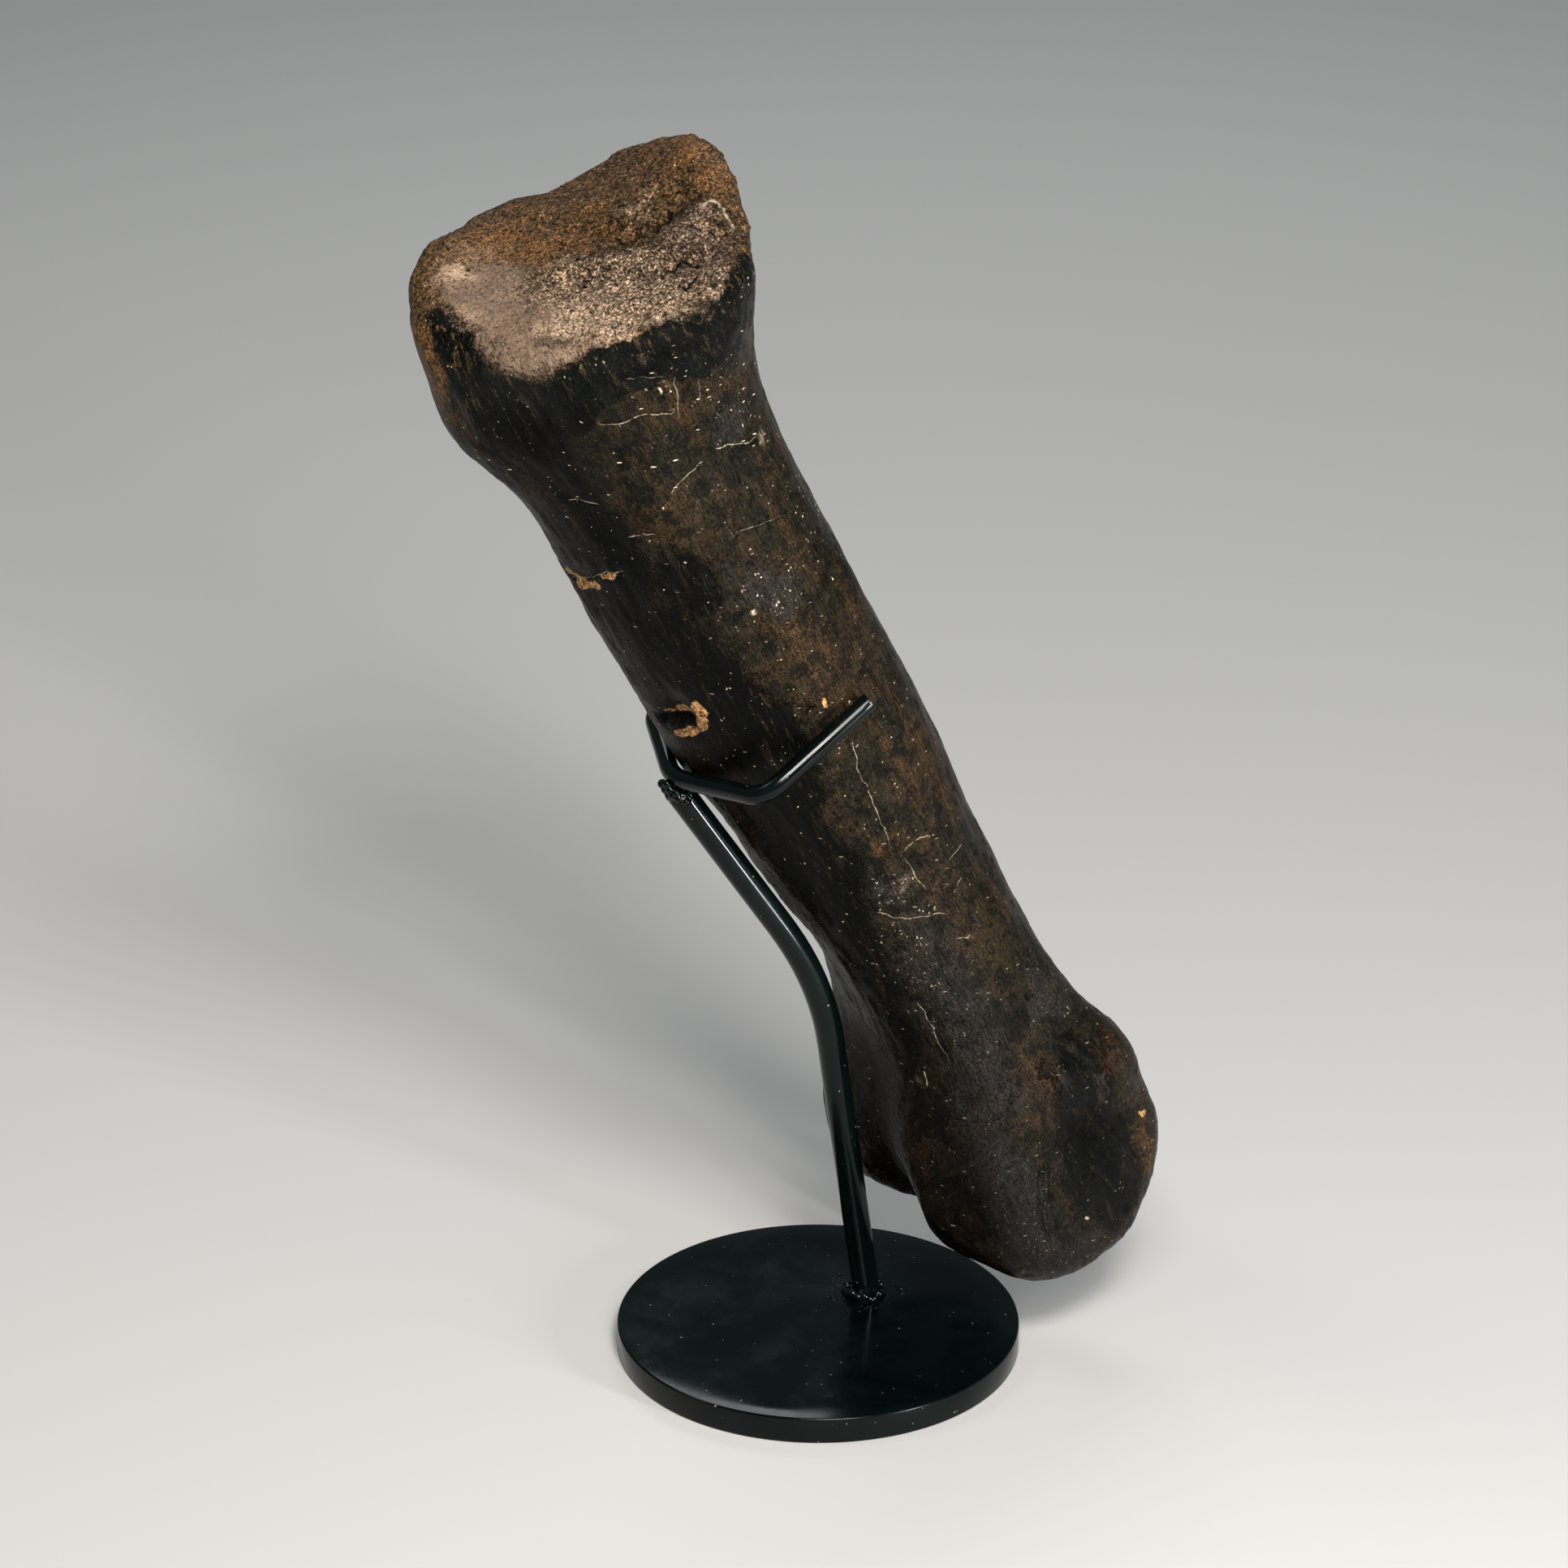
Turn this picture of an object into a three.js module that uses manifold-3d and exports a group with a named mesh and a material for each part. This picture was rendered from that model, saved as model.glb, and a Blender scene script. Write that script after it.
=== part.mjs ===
// A fossil dinosaur foot bone, held up at a lean by a small black steel stand.
// Millimetres, +Z up. The origin is the centre of the underside of the round foot plate.
// The bone is shaped in a space of its own, which is then turned and leant into place:
// there +Z runs up the shaft to the joint face, -X is the underside and -Y is the front.
import * as THREE from "three";
import Module from "manifold-3d";
import { mergeVertices } from "three/addons/utils/BufferGeometryUtils.js";

const wasm = await Module();
wasm.setup();

// ---------- driving dimensions ----------

const PLATE_DIAMETER = 140;
const PLATE_THICKNESS = 9.5;
const PLATE_EDGE_BREAK = 0.7;
const POST_DIAMETER = 9.5;
const CRADLE_DIAMETER = 6.4;
const WELD_GAP = 0.3;

// how the bone stands: turned a little about the upright, leant back over the plate, rolled a little
const BONE_ORIGIN = [73.5, 30.8, 71.4];
const BONE_TURN = 12.7;
const BONE_LEAN = -27.4;
const BONE_ROLL = 3.9;

// the post's corners, from its foot on the plate to its top under the cradle
const POST_FOOT = [17.2, 19, PLATE_THICKNESS];
const POST_ELBOW = [1, -8, 143];
const POST_TOP_IN_BONE_SPACE = [-46.6, -6, 186.5];
const POST_ELBOW_ROUND = 26;

// the cradle rod's corners in bone space: front tip, front kink, middle, back kink, back tip
const CRADLE_CORNERS = [
  [22, -39.5, 200],
  [-23.5, -49, 194],
  [-46.3, -4, 192],
  [-42, 42, 192],
  [12, 41.4, 199],
];
const CRADLE_KINK_ROUND = 8;

// weld beads: how far the foot bead spreads past the post, its height, and the top bead's radius
const FOOT_BEAD_SPREAD = 3.2;
const FOOT_BEAD_HEIGHT = 4.5;
const TOP_BEAD_RADIUS = 5.6;
const BEAD_LUMPS = 0.16;
const BEAD_SHOULDER = { low: 0.3, high: 0.75, spread: 0.45 };

// the joint face at the top end: its middle, its slopes, how round its rim is on either side,
// and the width over which one rim passes into the other
const FACE = { x: 10, y: 0, z: 372, sideSlope: -0.24, backSlope: 0.2 };
const FACE_RIM_ROUND = { left: 20, right: 6 };
const FACE_RIM_CHANGE = 70;

// the two knuckles at the bottom end, the web of bone between them, and the columns that carry
// them up to the shaft
const NEAR_KNUCKLE = { at: [-2, -26, 0], radius: 42.5, halfWidth: 20, round: 14 };
const FAR_KNUCKLE = { at: [-26, 33, 12], radius: 37, halfWidth: 20, round: 14 };
const KNUCKLE_WEB = { at: [-12, 3, 4], radius: 31 };
const KNUCKLE_AXIS = [-0.36, 0.92, 0.12];
const NEAR_COLUMN = { from: [-1, -18, 28], to: [2, -6, 105], radii: [28, 20] };
const FAR_COLUMN = { from: [-21, 24, 34], to: [-4, 8, 105], radii: [27, 20] };
const KNUCKLE_BLEND = 20;
const COLUMN_BLEND = 18;

// sections of the shaft and head: height, centre, then the reach to eight sides, which run
// right, back right, back, back left, left, front left, front, front right
const SECTIONS = [
  { up: -4, x: -4, y: 0, reach: [30, 30, 32, 32, 30, 32, 34, 32] },
  { up: 30, x: -2, y: 0, reach: [34, 30, 36, 36, 32, 39, 45, 40] },
  { up: 66, x: 1, y: 0, reach: [31, 30, 36, 35, 28, 35, 42, 36] },
  { up: 100, x: 1, y: 0, reach: [32, 32, 35, 33, 30, 33, 38, 34] },
  { up: 132, x: 0, y: 0, reach: [35, 35, 36, 37, 36, 34, 35, 36] },
  { up: 168, x: 0, y: 0, reach: [38, 37, 38, 39, 39, 37, 37, 38] },
  { up: 195, x: 0, y: 0, reach: [39, 38, 38.2, 41, 42.1, 38, 38.8, 39] },
  { up: 250, x: 0, y: 0, reach: [40, 39, 39, 41, 43, 38, 38, 40] },
  { up: 292, x: 0, y: 0, reach: [41, 40, 40, 42, 42, 38, 39, 41] },
  { up: 316, x: 2, y: 0, reach: [45, 46, 43, 46, 47, 40, 41, 44] },
  { up: 338, x: 6, y: 0, reach: [51, 56, 47, 52, 58, 45, 45, 52] },
  { up: 364, x: 10, y: 0, reach: [57.5, 64, 49, 53, 58, 48, 52, 60] },
  { up: 400, x: 10, y: 0, reach: [59, 67, 50, 52, 56, 46, 52, 60.5] },
];

// rises (above zero) and hollows (below zero) on the skin, each a soft oval patch in bone space
const SKIN_RELIEF = [
  // near knuckle: side pit and the hollow leading up from it, front corner, ridge up to the shaft
  { at: [16, -47, 10], size: [15, 16, 26], rise: -5 },
  { at: [8, -44, 52], size: [15, 16, 24], rise: -3.5 },
  { at: [38, -22, 26], size: [22, 24, 24], rise: 7 },
  { at: [30, -24, 58], size: [13, 16, 28], rise: 3.5 },
  { at: [-36, -22, 30], size: [20, 24, 24], rise: 7 },
  { at: [-42, -34, 8], size: [18, 26, 26], rise: 6 },
  { at: [-20, -52, 8], size: [16, 14, 26], rise: 1.5 },
  // far knuckle: side pit, and the brow above it
  { at: [-32, 52, 14], size: [16, 14, 20], rise: -4.5 },
  { at: [-30, 44, 44], size: [16, 16, 16], rise: 2 },
  // the groove between the knuckles, over the front, the end and the back
  { at: [34, 6, 4], size: [18, 14, 34], rise: -4 },
  { at: [-14, 3, -34], size: [40, 13, 20], rise: -3 },
  { at: [-44, 6, 4], size: [16, 12, 30], rise: -3 },
  // shaft, front: the long ridge, the flat beside it, and the shallow dents above
  { at: [-4, -38, 186], size: [13, 12, 26], rise: 1.8 },
  { at: [-12, -35, 152], size: [13, 12, 28], rise: 2.2 },
  { at: [-22, -30, 122], size: [12, 12, 24], rise: 2 },
  { at: [-30, -25, 160], size: [13, 13, 40], rise: -2.2 },
  { at: [-1, -36, 134], size: [12, 8, 12], rise: 1.4 },
  { at: [4, -36, 110], size: [18, 10, 9], rise: -1.5 },
  { at: [8, -37, 250], size: [14, 12, 16], rise: 1.6 },
  { at: [-16, -35, 266], size: [11, 10, 16], rise: -2 },
  { at: [-24, -31, 300], size: [12, 12, 24], rise: -2 },
  { at: [-14, -38, 335], size: [13, 14, 22], rise: 2.4 },
  // the broken flats on the right of the shaft
  { at: [30, -32, 312], size: [13, 12, 14], rise: -1.8 },
  { at: [35, -22, 246], size: [11, 14, 34], rise: -1.4 },
  // the hollow cheek under the left of the face and the undercut below its front rim
  { at: [-30, -32, 344], size: [16, 15, 20], rise: -5 },
  { at: [16, -48, 340], size: [32, 14, 13], rise: -3.5 },
  // the chip and the gold-edged notch on the underside edge
  { at: [-40, -12, 276], size: [8, 9, 5], rise: -2.4 },
  { at: [-35, -18, 217], size: [9, 10, 8], rise: -4 },
  // the back of the shaft: muscle scar, long flat and two dents
  { at: [12, 39, 236], size: [12, 12, 40], rise: 2 },
  { at: [-14, 38, 170], size: [14, 12, 46], rise: -1.8 },
  { at: [24, 32, 130], size: [14, 12, 20], rise: -1.6 },
  { at: [-20, 44, 330], size: [18, 14, 18], rise: -3 },
  { at: [48, 26, 330], size: [18, 16, 16], rise: -3 },
];

// rises and hollows of the joint face, each a soft oval patch
const FACE_RELIEF = [
  { at: [66, 26], size: [32, 30], rise: 9 },
  { at: [20, 46], size: [32, 24], rise: -4 },
  { at: [4, -6], size: [42, 30], rise: -3 },
  { at: [34, -26], size: [22, 14], rise: -2 },
  { at: [-30, 26], size: [22, 18], rise: 2.5 },
];

// slow unevenness of the whole skin, and the finer waves laid over it
const UNEVEN_HEIGHT = 0.55;
const UNEVEN_SPACING = 46;
const FINER_WAVES = 2.2;
const FINER_SHARE = 0.6;

// mesh density
const SEGMENTS = 64;
const SHAFT_RINGS = 27;
const KNUCKLE_RINGS = 14;
const HEAD_SIDE_RINGS = 6;
const FACE_RINGS = 11;
const FACE_RING_CROWDING = 1.3;
const STEEPEST_RIM = 1.5;
const LOWER_FAN_CENTRE = [-12, 2, 22];
const UPPER_FAN_CENTRE = [10, 0, 335];
const POST_SIDES = 12;
const POST_STEPS = 26;
const CRADLE_SIDES = 10;
const CRADLE_STEPS = 60;
const PLATE_SIDES = 56;
const BEAD_SIDES = 12;
const RAY_STRIDE = 3;
const RAY_HALVINGS = 18;
const SAME_POINT = 1e-3;

// ---------- small helpers ----------

const degrees = (angle) => THREE.MathUtils.degToRad(angle);

function clamp01(value) {
  return Math.min(1, Math.max(0, value));
}

// Joins two forms with a fillet of about the given size. A form is below zero inside.
function blendJoin(a, b, size) {
  const share = clamp01(0.5 + (0.5 * (b - a)) / size);
  return b + (a - b) * share - size * share * (1 - share);
}

// Keeps what two forms have in common, with the edge between them rounded.
function blendCut(a, b, size) {
  return -blendJoin(-a, -b, size);
}

// Value of a smooth closed curve through evenly spaced values, at a place counted in values.
function aroundRing(values, place) {
  const count = values.length;
  const first = Math.floor(place);
  const at = (offset) => values[(first + offset + count) % count];
  const share = place - first;
  const bend = 2 * at(-1) - 5 * at(0) + 4 * at(1) - at(2);
  const twist = 3 * (at(0) - at(1)) + at(2) - at(-1);
  return at(0) + 0.5 * share * (at(1) - at(-1) + share * (bend + share * twist));
}

// Value of a smooth curve through stations at uneven heights.
function alongHeights(stations, valueOf, height) {
  const last = stations.length - 1;
  const above = stations.findIndex((station) => station.up > height);
  const index = above < 0 ? last - 1 : Math.max(0, above - 1);
  const slopeAt = (middle) => {
    const low = stations[Math.max(0, middle - 1)];
    const high = stations[Math.min(last, middle + 1)];
    return (valueOf(high) - valueOf(low)) / (high.up - low.up);
  };
  const low = stations[index];
  const high = stations[index + 1];
  const span = high.up - low.up;
  const t = clamp01((height - low.up) / span);
  const rise = t * t * (3 - 2 * t);
  const lean = t * (1 - t) * span * ((1 - t) * slopeAt(index) - t * slopeAt(index + 1));
  return valueOf(low) * (1 - rise) + valueOf(high) * rise + lean;
}

// ---------- the forms that make up the bone ----------

function shaftForm(x, y, z) {
  const dx = x - alongHeights(SECTIONS, (section) => section.x, z);
  const dy = y - alongHeights(SECTIONS, (section) => section.y, z);
  const turned = Math.atan2(dy, dx) / (2 * Math.PI);
  const place = (section) => (turned < 0 ? turned + 1 : turned) * section.reach.length;
  const reach = alongHeights(SECTIONS, (section) => aroundRing(section.reach, place(section)), z);
  return Math.hypot(dx, dy) - reach;
}

function knuckleForm(knuckle, point) {
  const axis = new THREE.Vector3(...KNUCKLE_AXIS).normalize();
  const offset = point.clone().sub(new THREE.Vector3(...knuckle.at));
  const along = offset.dot(axis);
  const across = Math.sqrt(Math.max(0, offset.lengthSq() - along * along));
  const out = across - knuckle.radius + knuckle.round;
  const side = Math.abs(along) - knuckle.halfWidth + knuckle.round;
  return Math.hypot(Math.max(0, out), Math.max(0, side)) + Math.min(0, Math.max(out, side)) - knuckle.round;
}

function columnForm(column, point) {
  const from = new THREE.Vector3(...column.from);
  const run = new THREE.Vector3(...column.to).sub(from);
  const offset = point.clone().sub(from);
  const share = clamp01(offset.dot(run) / run.lengthSq());
  const radius = column.radii[0] + (column.radii[1] - column.radii[0]) * share;
  return offset.sub(run.multiplyScalar(share)).length() - radius;
}

// Height of a soft patch: its full rise in the middle, easing to nothing at its edge.
function patchHeight(patch, place) {
  const reach = patch.size.map((size, axis) => (place[axis] - patch.at[axis]) / size);
  const fall = 1 - Math.min(1, reach.reduce((sum, value) => sum + value * value, 0));
  return patch.rise * fall * fall;
}

function reliefHeight(patches, place) {
  return patches.reduce((sum, patch) => sum + patchHeight(patch, place), 0);
}

function unevenness(x, y, z) {
  const pace = (2 * Math.PI) / UNEVEN_SPACING;
  const long = Math.sin(pace * (x + 0.6 * z)) * Math.sin(pace * (y - 0.4 * z) + 1);
  const fine = pace * FINER_WAVES;
  const short = Math.sin(fine * (y + 0.5 * z) + 2) * Math.sin(fine * (x - 0.7 * z));
  return UNEVEN_HEIGHT * (long + FINER_SHARE * short);
}

function jointFaceForm({ x, y, z }) {
  const plane = FACE.z + FACE.sideSlope * (x - FACE.x) + FACE.backSlope * (y - FACE.y);
  return z - plane - reliefHeight(FACE_RELIEF, [x, y]);
}

function skinForm(point) {
  const { x, y, z } = point;
  const shaft = Math.max(shaftForm(x, y, z), SECTIONS[0].up - z);
  const near = blendJoin(knuckleForm(NEAR_KNUCKLE, point), columnForm(NEAR_COLUMN, point), KNUCKLE_BLEND);
  const far = blendJoin(knuckleForm(FAR_KNUCKLE, point), columnForm(FAR_COLUMN, point), KNUCKLE_BLEND);
  const web = point.distanceTo(new THREE.Vector3(...KNUCKLE_WEB.at)) - KNUCKLE_WEB.radius;
  const knuckles = blendJoin(blendJoin(near, far, KNUCKLE_BLEND), web, KNUCKLE_BLEND);
  const whole = blendJoin(knuckles, shaft, COLUMN_BLEND);
  return whole - reliefHeight(SKIN_RELIEF, [x, y, z]) - unevenness(x, y, z);
}

function boneForm(point) {
  const rimShare = clamp01(0.5 - (point.x - FACE.x) / FACE_RIM_CHANGE);
  const rimRound = FACE_RIM_ROUND.right + (FACE_RIM_ROUND.left - FACE_RIM_ROUND.right) * rimShare;
  return blendCut(skinForm(point), jointFaceForm(point), rimRound);
}

// ---------- the skin: rays from the middle of the bone out to its surface ----------

function surfacePoint(origin, direction) {
  const point = new THREE.Vector3();
  const formAt = (reach) => boneForm(point.copy(direction).multiplyScalar(reach).add(origin));
  let inside = 0;
  let outside = RAY_STRIDE;
  while (formAt(outside) < 0) {
    inside = outside;
    outside += RAY_STRIDE;
  }
  for (let step = 0; step < RAY_HALVINGS; step += 1) {
    const middle = (inside + outside) / 2;
    if (formAt(middle) < 0) {
      inside = middle;
    } else {
      outside = middle;
    }
  }
  return point.copy(direction).multiplyScalar(inside).add(origin).clone();
}

function sidePoint(origin, segment, out, up) {
  const angle = (segment / SEGMENTS) * 2 * Math.PI;
  const direction = new THREE.Vector3(out * Math.cos(angle), out * Math.sin(angle), up);
  return surfacePoint(origin, direction.normalize());
}

// How steeply a ray from the middle of the head climbs to meet the rim of the joint face.
function rimSlope(segment) {
  const middle = new THREE.Vector3(...UPPER_FAN_CENTRE);
  let below = 0;
  let above = STEEPEST_RIM;
  for (let step = 0; step < RAY_HALVINGS; step += 1) {
    const slope = (below + above) / 2;
    const point = sidePoint(middle, segment, 1, slope);
    if (skinForm(point) > jointFaceForm(point)) {
      below = slope;
    } else {
      above = slope;
    }
  }
  return below;
}

// Rings of points from the bottom of the knuckles up to the rim of the joint face.
function sideRings(segments) {
  const low = new THREE.Vector3(...LOWER_FAN_CENTRE);
  const high = new THREE.Vector3(...UPPER_FAN_CENTRE);
  const rings = [];
  for (let ring = 1; ring <= KNUCKLE_RINGS; ring += 1) {
    const angle = (ring / KNUCKLE_RINGS) * (Math.PI / 2);
    rings.push(segments.map((segment) => sidePoint(low, segment, Math.sin(angle), -Math.cos(angle))));
  }
  for (let ring = 1; ring <= SHAFT_RINGS; ring += 1) {
    const centre = low.clone().lerp(high, ring / SHAFT_RINGS);
    rings.push(segments.map((segment) => sidePoint(centre, segment, 1, 0)));
  }
  const slopes = segments.map(rimSlope);
  for (let ring = 1; ring <= HEAD_SIDE_RINGS; ring += 1) {
    const share = ring / HEAD_SIDE_RINGS;
    rings.push(segments.map((segment) => sidePoint(high, segment, 1, slopes[segment] * share)));
  }
  return rings;
}

// A point of the joint face, straight above a place between the rim and the middle.
function facePoint(rimPoint, ring) {
  const share = 1 - (ring / FACE_RINGS) ** FACE_RING_CROWDING;
  const origin = new THREE.Vector3(...UPPER_FAN_CENTRE).lerp(rimPoint, share);
  return surfacePoint(origin, new THREE.Vector3(0, 0, 1));
}

function boneGeometry() {
  const segments = Array.from({ length: SEGMENTS }, (_, segment) => segment);
  const rings = sideRings(segments);
  const rim = rings[rings.length - 1];
  for (let ring = 1; ring < FACE_RINGS; ring += 1) {
    rings.push(rim.map((rimPoint) => facePoint(rimPoint, ring)));
  }
  const lowPole = surfacePoint(new THREE.Vector3(...LOWER_FAN_CENTRE), new THREE.Vector3(0, 0, -1));
  const highPole = surfacePoint(new THREE.Vector3(...UPPER_FAN_CENTRE), new THREE.Vector3(0, 0, 1));
  const points = [lowPole, ...rings.flat(), highPole];
  const last = points.length - 1;
  const indices = [];
  const vertex = (ring, segment) => 1 + ring * SEGMENTS + (segment % SEGMENTS);
  for (let segment = 0; segment < SEGMENTS; segment += 1) {
    indices.push(0, vertex(0, segment + 1), vertex(0, segment));
    for (let ring = 0; ring + 1 < rings.length; ring += 1) {
      const a = vertex(ring, segment);
      const b = vertex(ring, segment + 1);
      const c = vertex(ring + 1, segment + 1);
      const d = vertex(ring + 1, segment);
      indices.push(a, b, c, a, c, d);
    }
    indices.push(last, vertex(rings.length - 1, segment), vertex(rings.length - 1, segment + 1));
  }
  const geometry = new THREE.BufferGeometry();
  geometry.setFromPoints(points);
  geometry.setIndex(indices);
  geometry.computeVertexNormals();
  return geometry;
}

// ---------- the stand ----------

// A rod through the given corners, each inner corner rounded.
function rodGeometry(corners, diameter, cornerRound, sides, steps) {
  const path = new THREE.CurvePath();
  let from = corners[0];
  for (let index = 1; index + 1 < corners.length; index += 1) {
    const corner = corners[index];
    const before = corner.clone().add(corners[index - 1].clone().sub(corner).setLength(cornerRound));
    const after = corner.clone().add(corners[index + 1].clone().sub(corner).setLength(cornerRound));
    path.add(new THREE.LineCurve3(from, before));
    path.add(new THREE.QuadraticBezierCurve3(before, corner, after));
    from = after;
  }
  path.add(new THREE.LineCurve3(from, corners[corners.length - 1]));
  const section = new THREE.Shape();
  section.absarc(0, 0, diameter / 2, 0, 2 * Math.PI, false);
  const settings = { extrudePath: path, steps, curveSegments: sides / 2, bevelEnabled: false };
  return new THREE.ExtrudeGeometry(section, settings);
}

function plateGeometry() {
  const radius = PLATE_DIAMETER / 2;
  const profile = [
    new THREE.Vector2(0, 0),
    new THREE.Vector2(radius - PLATE_EDGE_BREAK, 0),
    new THREE.Vector2(radius, PLATE_EDGE_BREAK),
    new THREE.Vector2(radius, PLATE_THICKNESS - PLATE_EDGE_BREAK),
    new THREE.Vector2(radius - PLATE_EDGE_BREAK, PLATE_THICKNESS),
    new THREE.Vector2(0, PLATE_THICKNESS),
  ];
  return new THREE.LatheGeometry(profile, PLATE_SIDES).rotateX(Math.PI / 2);
}

// Pushes a bead's sides in and out, so that it looks like run metal.
function addBeadLumps(geometry) {
  const places = geometry.attributes.position;
  for (let index = 0; index < places.count; index += 1) {
    const angle = Math.atan2(places.getY(index), places.getX(index));
    const swell = 1 + BEAD_LUMPS * Math.sin(3 * angle + 1) * Math.cos(2 * angle);
    places.setX(index, places.getX(index) * swell);
    places.setY(index, places.getY(index) * swell);
  }
  return geometry;
}

function footBeadGeometry() {
  const radius = POST_DIAMETER / 2;
  const profile = [
    new THREE.Vector2(0, 0),
    new THREE.Vector2(radius + FOOT_BEAD_SPREAD, 0),
    new THREE.Vector2(radius + FOOT_BEAD_SPREAD, FOOT_BEAD_HEIGHT * BEAD_SHOULDER.low),
    new THREE.Vector2(radius + FOOT_BEAD_SPREAD * BEAD_SHOULDER.spread, FOOT_BEAD_HEIGHT * BEAD_SHOULDER.high),
    new THREE.Vector2(radius, FOOT_BEAD_HEIGHT),
    new THREE.Vector2(0, FOOT_BEAD_HEIGHT),
  ];
  const bead = new THREE.LatheGeometry(profile, BEAD_SIDES).rotateX(Math.PI / 2);
  return addBeadLumps(bead);
}

function toSolid(geometry) {
  const bare = new THREE.BufferGeometry();
  bare.setAttribute("position", geometry.attributes.position);
  bare.setIndex(geometry.index);
  const merged = mergeVertices(bare, SAME_POINT);
  const triVerts = new Uint32Array(merged.index.array);
  const vertProperties = new Float32Array(merged.attributes.position.array);
  return new wasm.Manifold(new wasm.Mesh({ numProp: 3, vertProperties, triVerts }));
}

function fromSolid(solid) {
  const mesh = solid.getMesh();
  const geometry = new THREE.BufferGeometry();
  geometry.setAttribute("position", new THREE.BufferAttribute(mesh.vertProperties, 3));
  geometry.setIndex(new THREE.BufferAttribute(mesh.triVerts, 1));
  geometry.computeVertexNormals();
  return geometry;
}

// The post with its two weld beads. Its foot is cut level with the top of the plate, and its
// top bead is hollowed to fit round the cradle rod.
function postGeometry(top, cradleClearance) {
  const foot = new THREE.Vector3(...POST_FOOT);
  const elbow = new THREE.Vector3(...POST_ELBOW);
  const sunk = foot.clone().add(foot.clone().sub(elbow).setLength(POST_DIAMETER / 4));
  const rod = rodGeometry([sunk, elbow, top], POST_DIAMETER, POST_ELBOW_ROUND, POST_SIDES, POST_STEPS);
  const footBead = footBeadGeometry().translate(...POST_FOOT);
  const topBead = addBeadLumps(new THREE.SphereGeometry(TOP_BEAD_RADIUS, BEAD_SIDES, BEAD_SIDES / 2));
  topBead.translate(top.x, top.y, top.z);
  const reach = 4 * POST_DIAMETER;
  const below = new THREE.BoxGeometry(reach, reach, reach).translate(foot.x, foot.y, foot.z - reach / 2);
  const joined = toSolid(rod).add(toSolid(footBead)).add(toSolid(topBead));
  return fromSolid(joined.subtract(toSolid(below)).subtract(toSolid(cradleClearance)));
}

// ---------- assembly ----------

const fossil = new THREE.MeshStandardMaterial({ color: 0x2b2118, roughness: 0.42, metalness: 0 });
fossil.name = "fossil bone";
const blackPaint = new THREE.MeshStandardMaterial({ color: 0x08100f, roughness: 0.18, metalness: 0.2 });
blackPaint.name = "gloss black paint";

function addPiece(parent, name, geometry, material) {
  const mesh = new THREE.Mesh(geometry, material);
  mesh.name = name;
  parent.add(mesh);
}

const leaning = new THREE.Group();
leaning.position.set(...BONE_ORIGIN);
leaning.rotation.set(degrees(BONE_ROLL), degrees(BONE_LEAN), degrees(BONE_TURN), "ZYX");
leaning.updateMatrix();
const postTop = new THREE.Vector3(...POST_TOP_IN_BONE_SPACE).applyMatrix4(leaning.matrix);

function cradleGeometry(diameter) {
  const corners = CRADLE_CORNERS.map((corner) => new THREE.Vector3(...corner));
  return rodGeometry(corners, diameter, CRADLE_KINK_ROUND, CRADLE_SIDES, CRADLE_STEPS);
}

addPiece(leaning, "bone", boneGeometry(), fossil);
addPiece(leaning, "cradle", cradleGeometry(CRADLE_DIAMETER), blackPaint);

const model = new THREE.Group();
model.add(leaning);
addPiece(model, "base_disc", plateGeometry(), blackPaint);
const cradleClearance = cradleGeometry(CRADLE_DIAMETER + 2 * WELD_GAP).applyMatrix4(leaning.matrix);
addPiece(model, "post", postGeometry(postTop, cradleClearance), blackPaint);

export default model;
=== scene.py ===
"""A fossil dinosaur foot bone held at a lean by a small black steel stand.

The bone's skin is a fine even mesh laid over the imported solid, then given grain, flakes, cracks
and pits. The stand's rods are swept along their paths, and its welds are runs of fused drops.
Sizes are in metres unless a name says mm. Bone space is the bone's own frame in millimetres:
+Z up the shaft to the joint face, -X the underside, -Y the front.
"""

import math
from types import SimpleNamespace

import bmesh
import bpy
import numpy as np
from mathutils import Euler, Matrix, Vector, noise
from mathutils.bvhtree import BVHTree


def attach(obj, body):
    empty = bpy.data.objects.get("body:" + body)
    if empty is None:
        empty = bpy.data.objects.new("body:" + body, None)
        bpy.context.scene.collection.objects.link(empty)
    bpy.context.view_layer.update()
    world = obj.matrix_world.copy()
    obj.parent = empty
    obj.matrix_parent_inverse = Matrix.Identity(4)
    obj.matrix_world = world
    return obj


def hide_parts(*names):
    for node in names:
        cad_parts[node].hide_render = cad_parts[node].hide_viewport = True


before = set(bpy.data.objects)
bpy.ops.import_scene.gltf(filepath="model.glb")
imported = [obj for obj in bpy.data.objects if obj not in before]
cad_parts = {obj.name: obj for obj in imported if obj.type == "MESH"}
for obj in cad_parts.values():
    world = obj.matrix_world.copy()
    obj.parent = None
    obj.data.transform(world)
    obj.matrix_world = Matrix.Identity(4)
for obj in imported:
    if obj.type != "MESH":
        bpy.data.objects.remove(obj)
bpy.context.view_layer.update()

bl_info = {
    "name": "Fossil Foot Bone on a Stand",
    "version": (1, 0, 0),
    "blender": (4, 5, 0),
    "location": "View3D > Sidebar > Fossil",
    "description": "Makes the finished skin of a fossil foot bone and its black steel stand",
    "category": "Object",
}

# ---------- places shared with the solids ----------

MM = 0.001
BONE_ORIGIN_MM = (73.5, 30.8, 71.4)
BONE_ROLL = math.radians(3.9)
BONE_LEAN = math.radians(-27.4)
BONE_TURN = math.radians(12.7)
JOINT_FACE = {"x": 10.0, "z": 372.0, "side_slope": -0.24, "back_slope": 0.2}

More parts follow.
